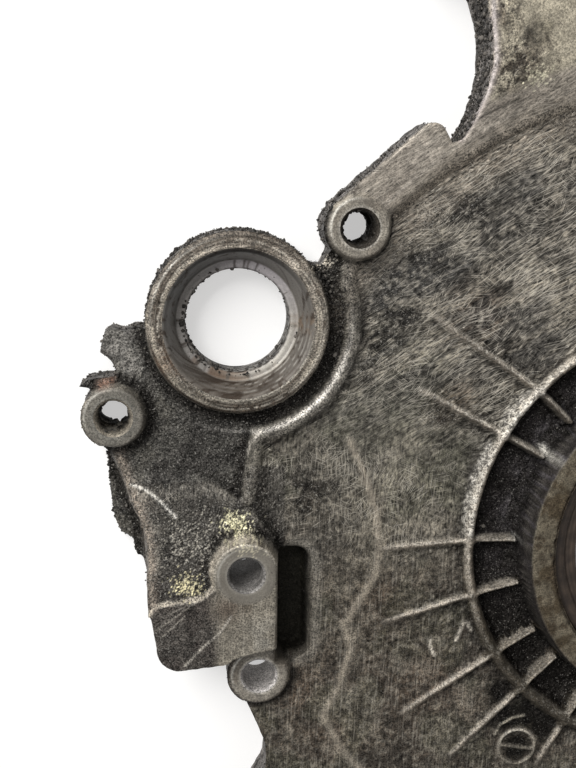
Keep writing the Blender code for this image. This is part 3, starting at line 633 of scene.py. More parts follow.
# %% Ribs, ring and date mark
OIL_PATCHES = [(-45.5, -51.0, 5.0), (-39.9, -50.0, 5.5), (-43.3, -60.5, 4.4), (-36.0, -54.5, 5.0),
               (-30.5, -48.0, 5.0), (-48.8, -43.1, 4.0)]
upper_ring = spot(-48.0, 42.0, 24.0) + 0.10
facing = 0.6 * np.gradient(height, net_x, axis=1) - 0.8 * np.gradient(height, net_y, axis=0)
lit = step(-0.25, 0.45, smooth(facing, 0.0004))
by_a_rib = np.clip(smooth(ribbed, 0.0014) * 4.0, 0.0, 1.0)
# Painted shadow in the creases beside the ribs, deepest on the side away from the window.
rib_shadow = np.clip((around - height) / 0.0004, 0.0, 1.0) * by_a_rib
coat((24, 22, 20), rib_shadow * (0.55 + 0.35 * (1.0 - lit)))
coat((112, 103, 92), convex * ribbed * 0.85)
# Painted highlight on the crests' sides that face the window.
coat((176, 168, 156), convex * ribbed * lit * np.clip(0.50 + 0.50 * upper_ring, 0.0, 1.0))
coat((226, 222, 214), spot(-47.3, 1.0, 0.8) * 0.8)
# Painted shade on the crests' sides away from the window.
coat((70, 64, 57), convex * ribbed * (1.0 - lit) * step(0.35, 0.6, blotch) * 0.7)
coat((82, 74, 62), ribbed * (R < 63.0) * drop(-30.0, 2.0, V) * 0.70)
coat((48, 44, 37), ribbed * step(57.8, 58.6, R) * (R < 63.0) * drop(-30.0, -12.0, V) * 0.70)
coat((206, 201, 192), crust * (0.35 + 0.65 * flakes) * 0.9)
coat((52, 48, 45), crust * step(0.62, 0.70, flaking) * 0.8)
coat((232, 228, 218), spot(-40.2, 24.8, 1.3))
oily = np.clip(1.4 * spots(OIL_PATCHES), 0.0, 1.0) * (R > 60.5) * (1.0 - ribbed)
coat((17, 16, 15), oily * 0.95)
coat((144, 137, 123), date_mark(0.31) * (R > 61.0) * (1.0 - ribbed) * 0.95)
date_place = AXIS + np.array(DATE_CENTRE) / MM
# Painted highlight on the top of the date ring.
coat((204, 197, 184), ring_mark(date_place, DATE_RADIUS, 0.28, 95.0, 55.0) * 0.9)
coat((122, 117, 108), convex * 0.50 * (1.0 - ribbed) * (1.0 - raw_web * 0.4) * quiet)
print("ribs, ring and date mark painted")

# %% Curved rib and the band's step
off_bosses = bolt_gap > 9.0
curved_rib = ring_mark(BORE, 28.6, 2.6, -25.0, 62.0) * (LEVEL > 11.5) * (bolt_gap > 8.5)
coat((116, 112, 105), curved_rib * 0.8)
coat((72, 68, 63), curved_rib * step(0.50, 0.62, fine) * 0.7)
coat((150, 146, 139), curved_rib * step(0.56, 0.68, 1.0 - fine) * 0.6)
# Painted shadow on the plate along the curved rib's outer side.
coat((44, 42, 40), ring_mark(BORE, 31.3, 0.7, -10.0, 60.0) * 0.75 * off_bosses)
coat((70, 67, 62), ring_mark(BORE, 29.4, 1.6, 10.0, 26.0) * convex * step(0.35, 0.6, blotch) * 0.8)
# Painted highlight along the curved rib's inner edge and down its straight end.
coat((212, 207, 199), ring_mark(BORE, 28.3, 0.50, -50.0, 34.0) * 0.85)
coat((190, 184, 174), stroke([(-115.6, 31.4), (-117.9, 28.6), (-118.6, 25.5)], 0.36) * 0.6)
beside_bore = drop(-96.0, -89.0, U)
# The band's step and the strip below it are painted lighter against the shade of their slope, and a
# painted highlight runs along the step's top edge.
painted_step_light = ring_mark(AXIS, 119.4, 4.4, 130.0, 40.0) * off_bosses * (1.0 - beside_bore)
# Corners are painted darker, but not in the ribs' painted shadow, on the hub face or on the step.
coat((34, 32, 30), concave * 0.85 * (1.0 - hub_face) * (1.0 - rib_shadow) * (1.0 - 0.95 * painted_step_light))
coat((142, 133, 121), painted_step_light * 0.70)
coat((124, 115, 103), ring_mark(AXIS, 114.6, 3.4, 124.0, 22.0) * off_bosses * 0.60)
coat((168, 160, 150), ring_mark(AXIS, 123.2, 0.6, 135.0, 22.0) * off_bosses
     * (1.0 - beside_bore) * 0.55)
print("curved rib and step painted")

# %% Face of the left bore
DARK_ARCS = ((19.3, 200.0, 60.0), (20.3, 150.0, 90.0), (20.9, -60.0, 60.0), (21.6, 90.0, 70.0),
             (22.1, -130.0, 60.0))
LIGHT_ARCS = ((19.8, 170.0, 80.0), (21.2, -40.0, 60.0), (20.6, 60.0, 60.0), (22.0, 20.0, 50.0))
worn_ring = clouds(np.arctan2(Y - BORE[1], X - BORE[0]) * 0.004, bore_away * 0.004, 0.0030, 81, 4)
coat((140, 132, 121), bore_face)
coat((66, 61, 54), bore_face * ring_mark(BORE, 20.5, 6.0, -95.0, 60.0) * 0.95)
coat((200, 190, 176), bore_face * ring_mark(BORE, 20.0, 6.0, 85.0, 45.0) * 0.85)
coat((76, 67, 58), bore_face * step(0.50, 0.60, worn_ring) * 0.80)
coat((58, 52, 46), bore_face * step(0.55, 0.66, fine) * 0.55)
coat((160, 152, 138), bore_face * step(0.56, 0.68, 1.0 - worn_ring) * 0.7)
coat((50, 42, 36), ring_mark(BORE, 19.9, 0.28, 190.0, 75.0) * step(0.35, 0.5, blotch))
for radius, bearing, spread in DARK_ARCS:
    arc = ring_mark(BORE, radius, 0.24, bearing, spread)
    coat((50, 43, 37), arc * step(0.38, 0.50, worn_ring))
for radius, bearing, spread in LIGHT_ARCS:
    arc = ring_mark(BORE, radius, 0.20, bearing, spread)
    coat((196, 189, 176), arc * step(0.36, 0.50, fine) * 0.8)
# Painted highlight on the worn rim edge at the upper left.
coat((205, 200, 190), ring_mark(BORE, 21.7, 0.22, 142.0, 30.0))
coat((70, 62, 55), ring_mark(BORE, 22.5, 0.45, 60.0, 60.0) * 0.8)
# Painted highlight on the lower right of the mouth's edge and painted shade on its top.
coat((190, 184, 172), ring_mark(BORE, 18.95, 0.20, -55.0, 60.0))
coat((40, 34, 30), ring_mark(BORE, 18.75, 0.22, 95.0, 60.0))
coat((108, 86, 68), spot(-139.0, 50.0, 3.0) * bore_face * 0.5)
print("face of the left bore painted")

# %% Bosses and pad
coat((134, 128, 118), boss_face)
coat((112, 104, 94), boss_face * step(0.50, 0.66, blotch) * 0.6)
for name in bolt_names:
    centre = middle_of(name)
    coat((176, 171, 162), ring_mark(centre, 5.1, 0.30) * 0.75)
    # Painted highlight on each face's upper left edge and painted shadow round its lower right
    # foot.
    coat((222, 218, 208), ring_mark(centre, 7.15, 0.26, 150.0, 48.0) * 0.95)
    coat((84, 77, 69), ring_mark(centre, 7.5, 0.40, -40.0, 70.0) * 0.8)
coat((100, 98, 92), np.clip(1.5 * spot(-152.1, 36.1, 7.8), 0.0, 1.0) * boss_face * 0.85)
pad_middle = middle_of("pad_bolt")
pad_boss = drop(7.6, 8.2, np.hypot(X - pad_middle[0], Y - pad_middle[1]) * MM)
pad_border = U + 0.10 * (V + 20.0) + 5.0 * (blotch - 0.5)
flat_pad = pad_face * (1.0 - boss_face)
left_pad = flat_pad * drop(-128.6, -125.0, pad_border)
coat((124, 118, 107), flat_pad)
coat((88, 80, 70), flat_pad * step(0.48, 0.64, fallen) * 0.8)
coat((158, 154, 145), spot(-114.8, -20.5, 4.9) * pad_face * step(0.35, 0.6, blotch) * 0.6)
coat((74, 70, 66), left_pad * 0.95)
coat((56, 51, 48), left_pad * step(0.50, 0.66, blotch) * 0.6)
coat((84, 73, 64), spot(-124.5, -12.0, 3.6) * pad_face * 0.8)
coat((172, 166, 156), stroke(PAD_GOUGE, 0.30) * pad_face * 0.85)
for path in PAD_SCRATCHES:
    coat((150, 144, 134), stroke(path, 0.22) * pad_face * 0.6)
coat((116, 112, 104), pad_boss * 0.5)
# Painted highlight on the upper rim of the pad's boss.
coat((196, 189, 176), ring_mark(pad_middle, 7.9, 0.26, 105.0, 75.0) * 0.85)
print("bosses and pad painted")

# %% Edges and corners
pad_soft = softened(pad_face, 0.00045)
# Painted highlight along the pad's upper left rim.
pad_rim_highlight = 4.0 * pad_soft * (1.0 - pad_soft) * (V > -13.5) * (U < -117.0) * (1.0 - slot_floor)
coat((186, 177, 162), pad_rim_highlight ** 2 * 0.70)
coat((116, 104, 93), stroke(SLOPE_EDGE, 1.5) * 0.60)
coat((150, 140, 127), stroke(SLOPE_EDGE, 0.40) * 0.55)
coat((214, 210, 202), stroke(GUSSET, 0.32) * 0.9)
# A pale band along the neck's rounded edge, with a painted highlight along its middle.
coat((176, 165, 162), stroke(NECK_EDGE, 1.0) * 0.70)
coat((206, 198, 196), stroke(NECK_EDGE, 0.42) * 0.55)
coat((45, 43, 37), slot_floor * 0.95)
coat((140, 110, 94), stroke([(-155.2, 43.9), (-152.7, 44.8)], 1.0) * 0.65)
coat((30, 28, 26), spots([(-100.0, 72.7, 2.5), (-100.4, 67.2, 3.0)])
     * (1.0 - turned_area) * 0.8)
print("edges and corners painted")


# %% Bright metal dust
def glitter(u, v, radius, count, colour, seed):
    """Single net points of one colour, scattered round (u, v) like shots round a target."""
    random = np.random.default_rng(seed)
    place_u = u + random.normal(0.0, radius, count)
    place_v = v + random.normal(0.0, radius * 0.7, count)
    column = np.searchsorted(net_x, AXIS[0] + place_u / MM)
    row = np.searchsorted(net_y, AXIS[1] + place_v / MM)
    strength = random.uniform(0.3, 1.0, count)[:, None]
    tone[row, column] = tone[row, column] * (1.0 - strength) + linear(*colour) * strength


for shots in ((-122.0, 8.3, 1.9, 260, (232, 226, 188), 7),
              (-120.0, 4.6, 2.6, 120, (210, 202, 176), 12),
              (-134.6, -6.4, 1.9, 200, (220, 210, 170), 8),
              (-133.0, 4.0, 4.6, 420, (158, 153, 142), 9),
              (-49.4, 119.4, 1.8, 130, (216, 210, 184), 10),
              (-56.0, 121.0, 3.5, 240, (64, 58, 50), 13),
              (-100.5, 74.0, 1.6, 120, (232, 222, 204), 11)):
    glitter(*shots)
print("dust scattered")

# %% Marks for the material
rising = step(16.0, 44.0, V + 0.25 * (U + 80.0))
falling = drop(-14.0, 14.0, V)
scratch_field = np.clip(plate + 0.55 * band + 0.25 * ribbed + 0.15 * neck_top, 0.0, 1.0)
scratch_field = scratch_field * (1.0 - 0.8 * stroke(SLOT_SHADE, 2.4)) * (1.0 - 0.9 * oily)
scratch_field = scratch_field * (1.0 - 0.5 * darkened)
scratched = scratch_field * rising
crossed = scratch_field * np.clip(1.0 - rising, 0.0, 1.0) * (1.0 - 0.7 * falling)
upright = np.clip(scratch_field * (0.30 + 0.45 * falling) * (1.0 - rising)
                  + 0.7 * pad_face * (1.0 - left_pad), 0.0, 1.0) * (1.0 - boss_face)
grained = np.clip(rough_cast * (1.0 - 0.45 * pockets) + 0.50 * neck_left + 0.65 * left_pad
                  + 0.22 * plate + 0.10, 0.0, 1.0)
grained = np.clip(grained + 0.8 * darkened * plate, 0.0, 1.0) * (1.0 - 0.8 * slot_floor)
grained = grained * (1.0 - 0.75 * np.clip(broken_lug, 0.0, 1.0))
# Rubbed crests and crusts, together with painted highlights on the lit sides of the ribs.
rubbed = np.clip(convex * ribbed * lit * (0.30 + upper_ring) + 0.8 * crust, 0.0, 1.0)
mottled = np.clip(1.0 - 0.50 * turned_area - 0.35 * pad_face * (1.0 - left_pad) - 0.5 * slot_floor
                  + 0.35 * bore_face - 0.45 * neck_top * (1.0 - neck_left) - 0.25 * band
                  - 0.2 * ribbed - 0.5 * stroke(NECK_EDGE, 1.2) - 0.4 * stroke(WORN_LINE, 1.0),
                  0.08, 1.0)
marks = np.stack([scratched, grained, upright], axis=-1)
wear_and_sheen = np.stack([crossed, rubbed, mottled], axis=-1)
turning = np.minimum(bolt_gap, 8.0) * boss_face
turning = np.where(bore_face > 0.5, bore_away, turning)
turning = np.where(hub_face > 0.5, R, turning)


# %% [markdown]
# ## The sheet as meshes
#
# A piece stays under 200,000 triangles, so the sheet is cut into strips. They share their points
# along the cuts, and all of them get normals from the slope of the height itself, so no seam
# shows: the normal is (-dh/dx, -dh/dy, 1).

# %% Places and normals of the sheet
outside = ~metal
cell_used = (metal[:-1, :-1] | metal[1:, :-1] | metal[:-1, 1:] | metal[1:, 1:])
wobble = 0.00016 * (clouds(X, Y, 0.0015, 61, 2) - 0.75) * (hole_gap > 0.001)
fall_y, fall_x = np.gradient(outline_gap, net_y, net_x)
place_x = np.clip(np.where(outside, nearest[0] + wobble * fall_x, X), COVER_LOW[0], COVER_HIGH[0])
place_y = np.clip(np.where(outside, nearest[1] + wobble * fall_y, Y), COVER_LOW[1], COVER_HIGH[1])
filled = np.minimum(np.where(metal, height, smooth(height, 0.0004)), COVER_HIGH[2] - 0.00001)
slope_y, slope_x = np.gradient(filled, net_y, net_x)
normals = np.stack([-slope_x, -slope_y, np.ones(X.shape)], axis=-1)
normals /= np.linalg.norm(normals, axis=-1, keepdims=True)
print("cells of the sheet", int(cell_used.sum()))


# %% Meshes with colours and marks
def attribute(mesh, name, kind, values):
    """Store one value per point: a number or a colour."""
    layer = mesh.attributes.new(name, kind, "POINT")
    if kind == "FLOAT_COLOR":
        values = np.concatenate([values, np.ones((len(values), 1))], axis=1)
        layer.data.foreach_set("color", values.astype(np.float32).ravel())
    else:
        layer.data.foreach_set("value", values.astype(np.float32).ravel())


def plain_marks(mesh, crossed, grained, mottled):
    """The same marks all over a piece that isn't on the net."""
    count = len(mesh.vertices)
    attribute(mesh, "marks", "FLOAT_COLOR", np.tile((0.0, grained, 0.0), (count, 1)))
    attribute(mesh, "wear_and_sheen", "FLOAT_COLOR", np.tile((crossed, 0.0, mottled), (count, 1)))
    if "turning" not in mesh.attributes:
        attribute(mesh, "turning", "FLOAT", np.zeros(count))


def mesh_of(name, points, faces, point_normals=None):
    """Object at the origin from arrays of points and of four cornered faces."""
    mesh = bpy.data.meshes.new(name)
    mesh.from_pydata(points.tolist(), [], faces.tolist())
    mesh.polygons.foreach_set("use_smooth", np.ones(len(mesh.polygons), dtype=bool))
    if point_normals is not None:
        mesh.normals_split_custom_set_from_vertices(point_normals.tolist())
    obj = bpy.data.objects.new(name, mesh)
    bpy.context.scene.collection.objects.link(obj)
    return obj


# %% Front strips
def faces_of(use):
    """The four points of each used cell, as places in the flat net."""
    index = np.arange(X.size).reshape(X.shape)
    return np.stack([index[:-1, :-1][use], index[:-1, 1:][use],
                     index[1:, 1:][use], index[1:, :-1][use]], axis=1)


def strip(name, first, last):
    """The sheet between two columns of the net, with its colour and its marks."""
    use = np.zeros(cell_used.shape, dtype=bool)
    use[:, first:last] = cell_used[:, first:last]
    faces = faces_of(use)
    kept = np.unique(faces)
    points = np.stack([place_x.ravel()[kept], place_y.ravel()[kept], filled.ravel()[kept]], axis=1)
    obj = mesh_of(name, points, np.searchsorted(kept, faces), normals.reshape(-1, 3)[kept])
    attribute(obj.data, "tone", "FLOAT_COLOR", tone.reshape(-1, 3)[kept])
    attribute(obj.data, "marks", "FLOAT_COLOR", marks.reshape(-1, 3)[kept])
    attribute(obj.data, "wear_and_sheen", "FLOAT_COLOR", wear_and_sheen.reshape(-1, 3)[kept])
    attribute(obj.data, "turning", "FLOAT", turning.ravel()[kept])
    return obj


STRIPS = 5
columns_used = np.cumsum(cell_used.sum(axis=0))
cuts = [int(np.searchsorted(columns_used, columns_used[-1] * number / STRIPS))
        for number in range(1, STRIPS)]
bounds = [0] + cuts + [cell_used.shape[1]]
front_strips = [strip("cover_front_%d" % (number + 1), first, last)
                for number, (first, last) in enumerate(zip(bounds, bounds[1:]))]
print("front strips", [len(obj.data.polygons) * 2 for obj in front_strips], "triangles")


# %% [markdown]
# ## Walls, back and bores
#
# The outer wall drops from the sheet's edge to the gasket face. It is as rough as the mould, so
# each ring of it is pushed in and out a little. The bores are turned on a lathe: a profile of
# radius and height carried round the hole's axis.

# %% Outer wall
WALL_RINGS = 16


def outer_wall(name):
    """Rings from the sheet's edge to z = 0: z = top * (1 - t), pushed along the outward
    direction by a random field of the place."""
    faces = faces_of(cell_used)
    edges = np.concatenate([faces[:, [0, 1]], faces[:, [1, 2]], faces[:, [2, 3]], faces[:, [3, 0]]])
    code = np.sort(edges, axis=1) @ np.array((1, X.size))
    _, first, count = np.unique(code, return_index=True, return_counts=True)
    edges = edges[first[count == 1]]
    edges = edges[(outline_gap.ravel()[edges] > -0.0002).all(axis=1)]
    kept = np.unique(edges)
    start = np.searchsorted(kept, edges)
    x, y, top = place_x.ravel()[kept], place_y.ravel()[kept], filled.ravel()[kept]
    out_x, out_y = fall_x.ravel()[kept], fall_y.ravel()[kept]
    length = np.maximum(np.hypot(out_x, out_y), 1e-9)
    rows = []
    for ring in range(WALL_RINGS + 1):
        t = ring / WALL_RINGS
        z = top * (1.0 - t)
        push = 0.00075 * (clouds(x + z * 0.9, y - z * 0.7, 0.0019, 71, 3) - 0.62)
        push = push * min(1.0, 3.0 * t)
        px = np.clip(x + push * out_x / length, COVER_LOW[0], COVER_HIGH[0])
        py = np.clip(y + push * out_y / length, COVER_LOW[1], COVER_HIGH[1])
        rows.append(np.stack([px, py, z], axis=1))
    points = np.concatenate(rows)
    size = len(kept)
    quads = [np.stack([start[:, 1] + size * ring, start[:, 0] + size * ring,
                       start[:, 0] + size * (ring + 1), start[:, 1] + size * (ring + 1)], axis=1)
             for ring in range(WALL_RINGS)]
    obj = mesh_of(name, points, np.concatenate(quads))
    wall_tone = np.tile(tone.reshape(-1, 3)[kept], (WALL_RINGS + 1, 1))
    share = np.repeat(np.arange(WALL_RINGS + 1) / WALL_RINGS, size)
    dirt = clouds(points[:, 0] + points[:, 2], points[:, 1] - points[:, 2], 0.0020, 75, 3)
    below = np.clip(share * 4.0, 0.0, 1.0)
    wall_tone = lay(wall_tone, (112, 107, 103), np.minimum(below, 0.9))
    wall_tone = lay(wall_tone, (40, 37, 35), below * step(0.38, 0.60, dirt) * 0.9)
    attribute(obj.data, "tone", "FLOAT_COLOR", wall_tone)
    plain_marks(obj.data, 0.0, 1.0, 1.0)
    return obj, np.stack([x, y, top], axis=1), np.stack([out_x, out_y], axis=1) / length[:, None]


wall, wall_places, wall_outward = outer_wall("cover_wall")
print("wall", len(wall.data.polygons) * 2, "triangles")


# %% Back of the cover
BACK_SPACING = 0.00105
back_x = np.arange(COVER_LOW[0] - 0.0005, COVER_HIGH[0] + 0.0011, BACK_SPACING)
back_y = np.arange(COVER_LOW[1] - 0.0005, COVER_HIGH[1] + 0.0011, BACK_SPACING)


def back_sheet(name):
    """The underside as a net of its own: the lowest solid point over each net point."""
    low = plumb(cover_triangles, back_x, back_y, highest=False)
    solid = low < 0.5
    use = solid[:-1, :-1] & solid[1:, :-1] & solid[:-1, 1:] & solid[1:, 1:]
    index = np.arange(low.size).reshape(low.shape)
    faces = np.stack([index[:-1, :-1][use], index[1:, :-1][use],
                      index[1:, 1:][use], index[:-1, 1:][use]], axis=1)
    kept = np.unique(faces)
    x, y = np.meshgrid(back_x, back_y)
    z = np.where(solid, low, 0.0)
    points = np.stack([x.ravel()[kept], y.ravel()[kept], z.ravel()[kept]], axis=1)
    obj = mesh_of(name, points, np.searchsorted(kept, faces))
    shade = np.ones((len(kept), 3)) * linear(118, 113, 105)
    deep = np.clip(points[:, 2] / 0.004, 0.0, 1.0)
    attribute(obj.data, "tone", "FLOAT_COLOR", lay(shade, (84, 80, 75), deep))
    plain_marks(obj.data, 0.5, 0.4, 0.9)
    return obj


back = back_sheet("cover_back")
print("back", len(back.data.polygons) * 2, "triangles")


# %% Turned surfaces
def carried(profile, spacing):
    """Points along a profile at even spacing, corners kept."""
    rows = [profile[:1]]
    for a, b in zip(profile, profile[1:]):
        count = max(1, int(math.ceil(np.hypot(*(b - a)) / spacing)))
        rows.append(a + (b - a) * (np.arange(1, count + 1) / count)[:, None])
    return np.concatenate(rows)


def turned(profile, centre, steps, crumbs=0.0, seed=0, shade=(120, 114, 105), paint=None):
    """Profile (radius, z) carried round an axis: x = cx + r cos a, y = cy + r sin a. Crumbs
    lessen r by a random field of the angle and z."""
    line = carried(np.array(profile), 0.0005)
    angle = np.arange(steps) * 2.0 * math.pi / steps
    radius = np.repeat(line[:, :1], steps, axis=1)
    z = np.repeat(line[:, 1:], steps, axis=1)
    around_x, around_y = np.cos(angle), np.sin(angle)
    reach = float(line[:, 0].mean())
    lumps = clouds(around_x * reach + z * 0.6, around_y * reach - z * 0.8, 0.0014, seed, 3)
    deep = step(0.0008, 0.0030, line[0, 1] - z)
    radius = radius - crumbs * deep * step(0.42, 0.78, lumps)
    points = np.stack([centre[0] + radius * around_x, centre[1] + radius * around_y, z], axis=-1)
    index = np.arange(len(line) * steps).reshape(len(line), steps)
    following = np.roll(index, -1, axis=1)
    faces = np.stack([index[:-1], index[1:], following[1:], following[:-1]], axis=-1)
    colour = np.ones(z.shape + (3,)) * linear(*shade)
    colour = lay(colour, (30, 28, 26), deep * step(0.40, 0.60, lumps) * (crumbs > 0.0))
    if paint is not None:
        colour = paint(colour, radius, z, np.degrees(angle)[None, :] + 0.0 * z)
    return points.reshape(-1, 3), faces.reshape(-1, 4), colour.reshape(-1, 3), radius.ravel()


# %% Turned pieces
def turned_piece(name, parts, grained=0.3, mottled=0.8, ringed=1.0):
    """Several turned surfaces as one mesh, with their colours and radii."""
    offsets = np.cumsum([0] + [len(part[0]) for part in parts])
    points = np.concatenate([part[0] for part in parts])
    faces = np.concatenate([part[1] + offset for part, offset in zip(parts, offsets)])
    obj = mesh_of(name, points, faces)
    attribute(obj.data, "tone", "FLOAT_COLOR", np.concatenate([part[2] for part in parts]))
    radii = np.concatenate([part[3] for part in parts]) * MM
    attribute(obj.data, "turning", "FLOAT", radii * ringed)
    plain_marks(obj.data, 0.0, grained, mottled)
    return obj


def towards(angle, bearing, spread):
    """1 at a bearing in degrees, falling to each side: exp(-(turn / spread)^2)."""
    turn = (angle - bearing + 180.0) % 360.0 - 180.0
    return np.exp(-(turn / spread) ** 2)


# %% Walls of the left bore
LEFT_STEP = 0.0080
LEFT_THROUGH = 0.0131
LEFT_PROFILE = [(LEFT_EDGE_RADIUS, 0.0150), (0.0182, 0.0149), (0.0177, 0.0142),
                (0.0152, LEFT_STEP), (0.0149, LEFT_STEP), (0.0136, LEFT_STEP + 0.0001),
                (LEFT_THROUGH, LEFT_STEP - 0.0003), (LEFT_THROUGH, 0.0)]


def bore_paint(colour, radius, z, angle):
    """Smooth grey cone with painted shade at its upper left and painted highlights at its lower
    right, a lighter ledge with brown stains, and black dirt at the through hole.
    """
    a = np.radians(angle)
    patch = clouds(np.cos(a) * 0.015 + z, np.sin(a) * 0.015 - z, 0.0050, 91, 4)
    fine = clouds(np.cos(a) * 0.015 + z, np.sin(a) * 0.015 - z, 0.0012, 95, 3)
    cone = step(LEFT_STEP + 0.0002, LEFT_STEP + 0.0006, z)
    ledge = (1.0 - cone) * step(LEFT_THROUGH + 0.0001, LEFT_THROUGH + 0.0003, radius)
    groove = np.sin(radius * 9000.0 + patch * 5.0)
    foot = np.exp(-((z - LEFT_STEP - 0.0003) / 0.00035) ** 2)
    edge = np.exp(-((radius - 0.0140) / 0.00018) ** 2) * ledge
    through = drop(LEFT_THROUGH, LEFT_THROUGH + 0.0005, radius)
    both = cone + ledge
    for shade, cover in (
            # Painted shade on the cone's upper left side.
            ((84, 83, 81), cone * towards(angle, 135.0, 75.0) * 0.9),
            ((108, 103, 97), cone * towards(angle, -12.0, 60.0) * 0.80),
            ((92, 82, 72), cone * towards(angle, -98.0, 50.0) * 0.65),
            # Painted highlights on the grooves at the lower right.
            ((206, 201, 192), cone * step(0.80, 1.0, groove) * towards(angle, -48.0, 45.0) * 0.6),
            ((88, 76, 65), cone * step(0.60, 1.0, -groove) * towards(angle, -80.0, 70.0) * 0.7),
            ((58, 48, 40), cone * step(0.52, 0.64, patch) * towards(angle, -100.0, 55.0) * 0.85),
            ((150, 146, 142), ledge),
            ((182, 176, 180), ledge * towards(angle, 65.0, 45.0) * 0.7),
            ((104, 82, 64), ledge * step(0.42, 0.60, patch) * towards(angle, -100.0, 60.0)),
            ((122, 96, 70), both * towards(angle, -1.0, 7.0) * step(0.35, 0.6, fine) * 0.6),
            ((60, 50, 42), both * step(0.60, 0.72, fine) * 0.8),
            ((34, 31, 29), towards(angle, 85.0, 55.0) * step(0.0136, 0.0144, z) * 0.9),
            # Painted highlights on the cone's foot and the ledge's edge at the lower right.
            ((222, 218, 208), foot * towards(angle, -45.0, 50.0) * 0.8),
            ((226, 222, 212), edge * towards(angle, -50.0, 34.0) * 0.8),
            ((40, 37, 34), through * step(0.30, 0.55, fine) * 0.95)):
        colour = lay(colour, shade, cover)
    return colour


left_turned = turned(LEFT_PROFILE, BORE, 300, 0.0, 80, (136, 132, 126), bore_paint)
bore_wall = turned_piece("left_bore_wall", [left_turned], 0.05, 0.12, 0.0)
CRANK_PROFILE = [(CRANK_RADIUS, HUB_TOP), (CRANK_RADIUS, 0.0081), (0.0362, 0.0081),
                 (0.0362, 0.0025)]
crank_turned = turned(CRANK_PROFILE, AXIS, 260, 0.0, 82, (70, 62, 54))
crank_wall = turned_piece("crank_bore_wall", [crank_turned])
print("bores", [len(obj.data.polygons) * 2 for obj in (bore_wall, crank_wall)])

# %% Walls of the bolt holes
HOLE_LOOKS = {"upper_left_bolt": (0.0010, (58, 54, 49)), "left_bolt": (0.0009, (134, 127, 115)),
              "pad_bolt": (0.0, (124, 121, 118)), "low_left_bolt": (0.0, (172, 168, 165))}
PLAIN_HOLE = (0.0004, (96, 91, 84))


def hole_paint(colour, radius, z, angle):
    """Painted shade: a soft dark patch at the top of the hole's far side, which faces away from the
    light.
    """
    far = towards(angle, 110.0, 45.0) * drop(0.0060, 0.0110, z)
    return lay(colour, (48, 45, 44), far * 0.8)


bolt_parts = []
for number, name in enumerate(bolt_names):
    top = openings[name][1][2] - 0.001
    crumb_size, shade = HOLE_LOOKS.get(name, PLAIN_HOLE)
    profile = [(BOLT_RADIUS + BOLT_CHAMFER, top), (BOLT_RADIUS, top - BOLT_CHAMFER),
               (BOLT_RADIUS, 0.0)]
    bolt_parts.append(turned(profile, middle_of(name), 96, crumb_size, 100 + number, shade,
                             hole_paint))
bolt_walls = turned_piece("bolt_hole_walls", bolt_parts, 0.15, 0.7, 0.0)
print("bolt holes", len(bolt_walls.data.polygons) * 2, "triangles")


# %% [markdown]
# ## Crumbs of dried grime
#
# Oil and road dust have dried into black crumbs. They stick out of the outer wall, hang round the
# edges of the holes and lie in the corners, so they break up the outline. A particle system could
# scatter them, but its pieces wouldn't be in the exported mesh. Here each crumb is a copy of a
# twenty sided solid, stretched and turned at random, and all of them are one array.

# %% A twenty sided crumb
GOLDEN = (1.0 + math.sqrt(5.0)) / 2.0
CRUMB_POINTS = np.array([(-1, GOLDEN, 0), (1, GOLDEN, 0), (-1, -GOLDEN, 0), (1, -GOLDEN, 0),
                         (0, -1, GOLDEN), (0, 1, GOLDEN), (0, -1, -GOLDEN), (0, 1, -GOLDEN),
                         (GOLDEN, 0, -1), (GOLDEN, 0, 1), (-GOLDEN, 0, -1), (-GOLDEN, 0, 1)])
CRUMB_POINTS = CRUMB_POINTS / math.hypot(1.0, GOLDEN)
CRUMB_FACES = np.array([(0, 11, 5), (0, 5, 1), (0, 1, 7), (0, 7, 10), (0, 10, 11), (1, 5, 9),
                        (5, 11, 4), (11, 10, 2), (10, 7, 6), (7, 1, 8), (3, 9, 4), (3, 4, 2),
                        (3, 2, 6), (3, 6, 8), (3, 8, 9), (4, 9, 5), (2, 4, 11), (6, 2, 10),
                        (8, 6, 7), (9, 8, 1)])


def crumb_field(name, places, sizes, stretch, seed):
    """Copies of the crumb: place + turn @ (size * stretch * point * (1 + roughness)). A turn
    comes from a random unit quaternion (w, x, y, z)."""
    random = np.random.default_rng(seed)
    count = len(places)
    q = random.normal(size=(count, 4))
    w, x, y, z = (q / np.linalg.norm(q, axis=1, keepdims=True)).T
    turn = np.stack([1 - 2 * (y * y + z * z), 2 * (x * y - w * z), 2 * (x * z + w * y),
                     2 * (x * y + w * z), 1 - 2 * (x * x + z * z), 2 * (y * z - w * x),
                     2 * (x * z - w * y), 2 * (y * z + w * x), 1 - 2 * (x * x + y * y)], axis=1)
    shape = random.uniform(0.55, stretch, (count, 1, 3)) * sizes[:, None, None]
    body = CRUMB_POINTS[None] * shape * random.uniform(0.75, 1.25, (count, 12, 1))
    points = places[:, None, :] + np.einsum("nij,nkj->nki", turn.reshape(count, 3, 3), body)
    points = np.clip(points.reshape(-1, 3), COVER_LOW, COVER_HIGH)
    faces = (CRUMB_FACES[None] + 12 * np.arange(count)[:, None, None]).reshape(-1, 3)
    obj = mesh_of(name, points, faces)
    shade = np.repeat(random.uniform(0.0, 1.0, count), 12)[:, None]
    colour = linear(28, 26, 24) * (1.0 - shade) + linear(112, 107, 101) * shade ** 3
    attribute(obj.data, "tone", "FLOAT_COLOR", colour)
    return obj


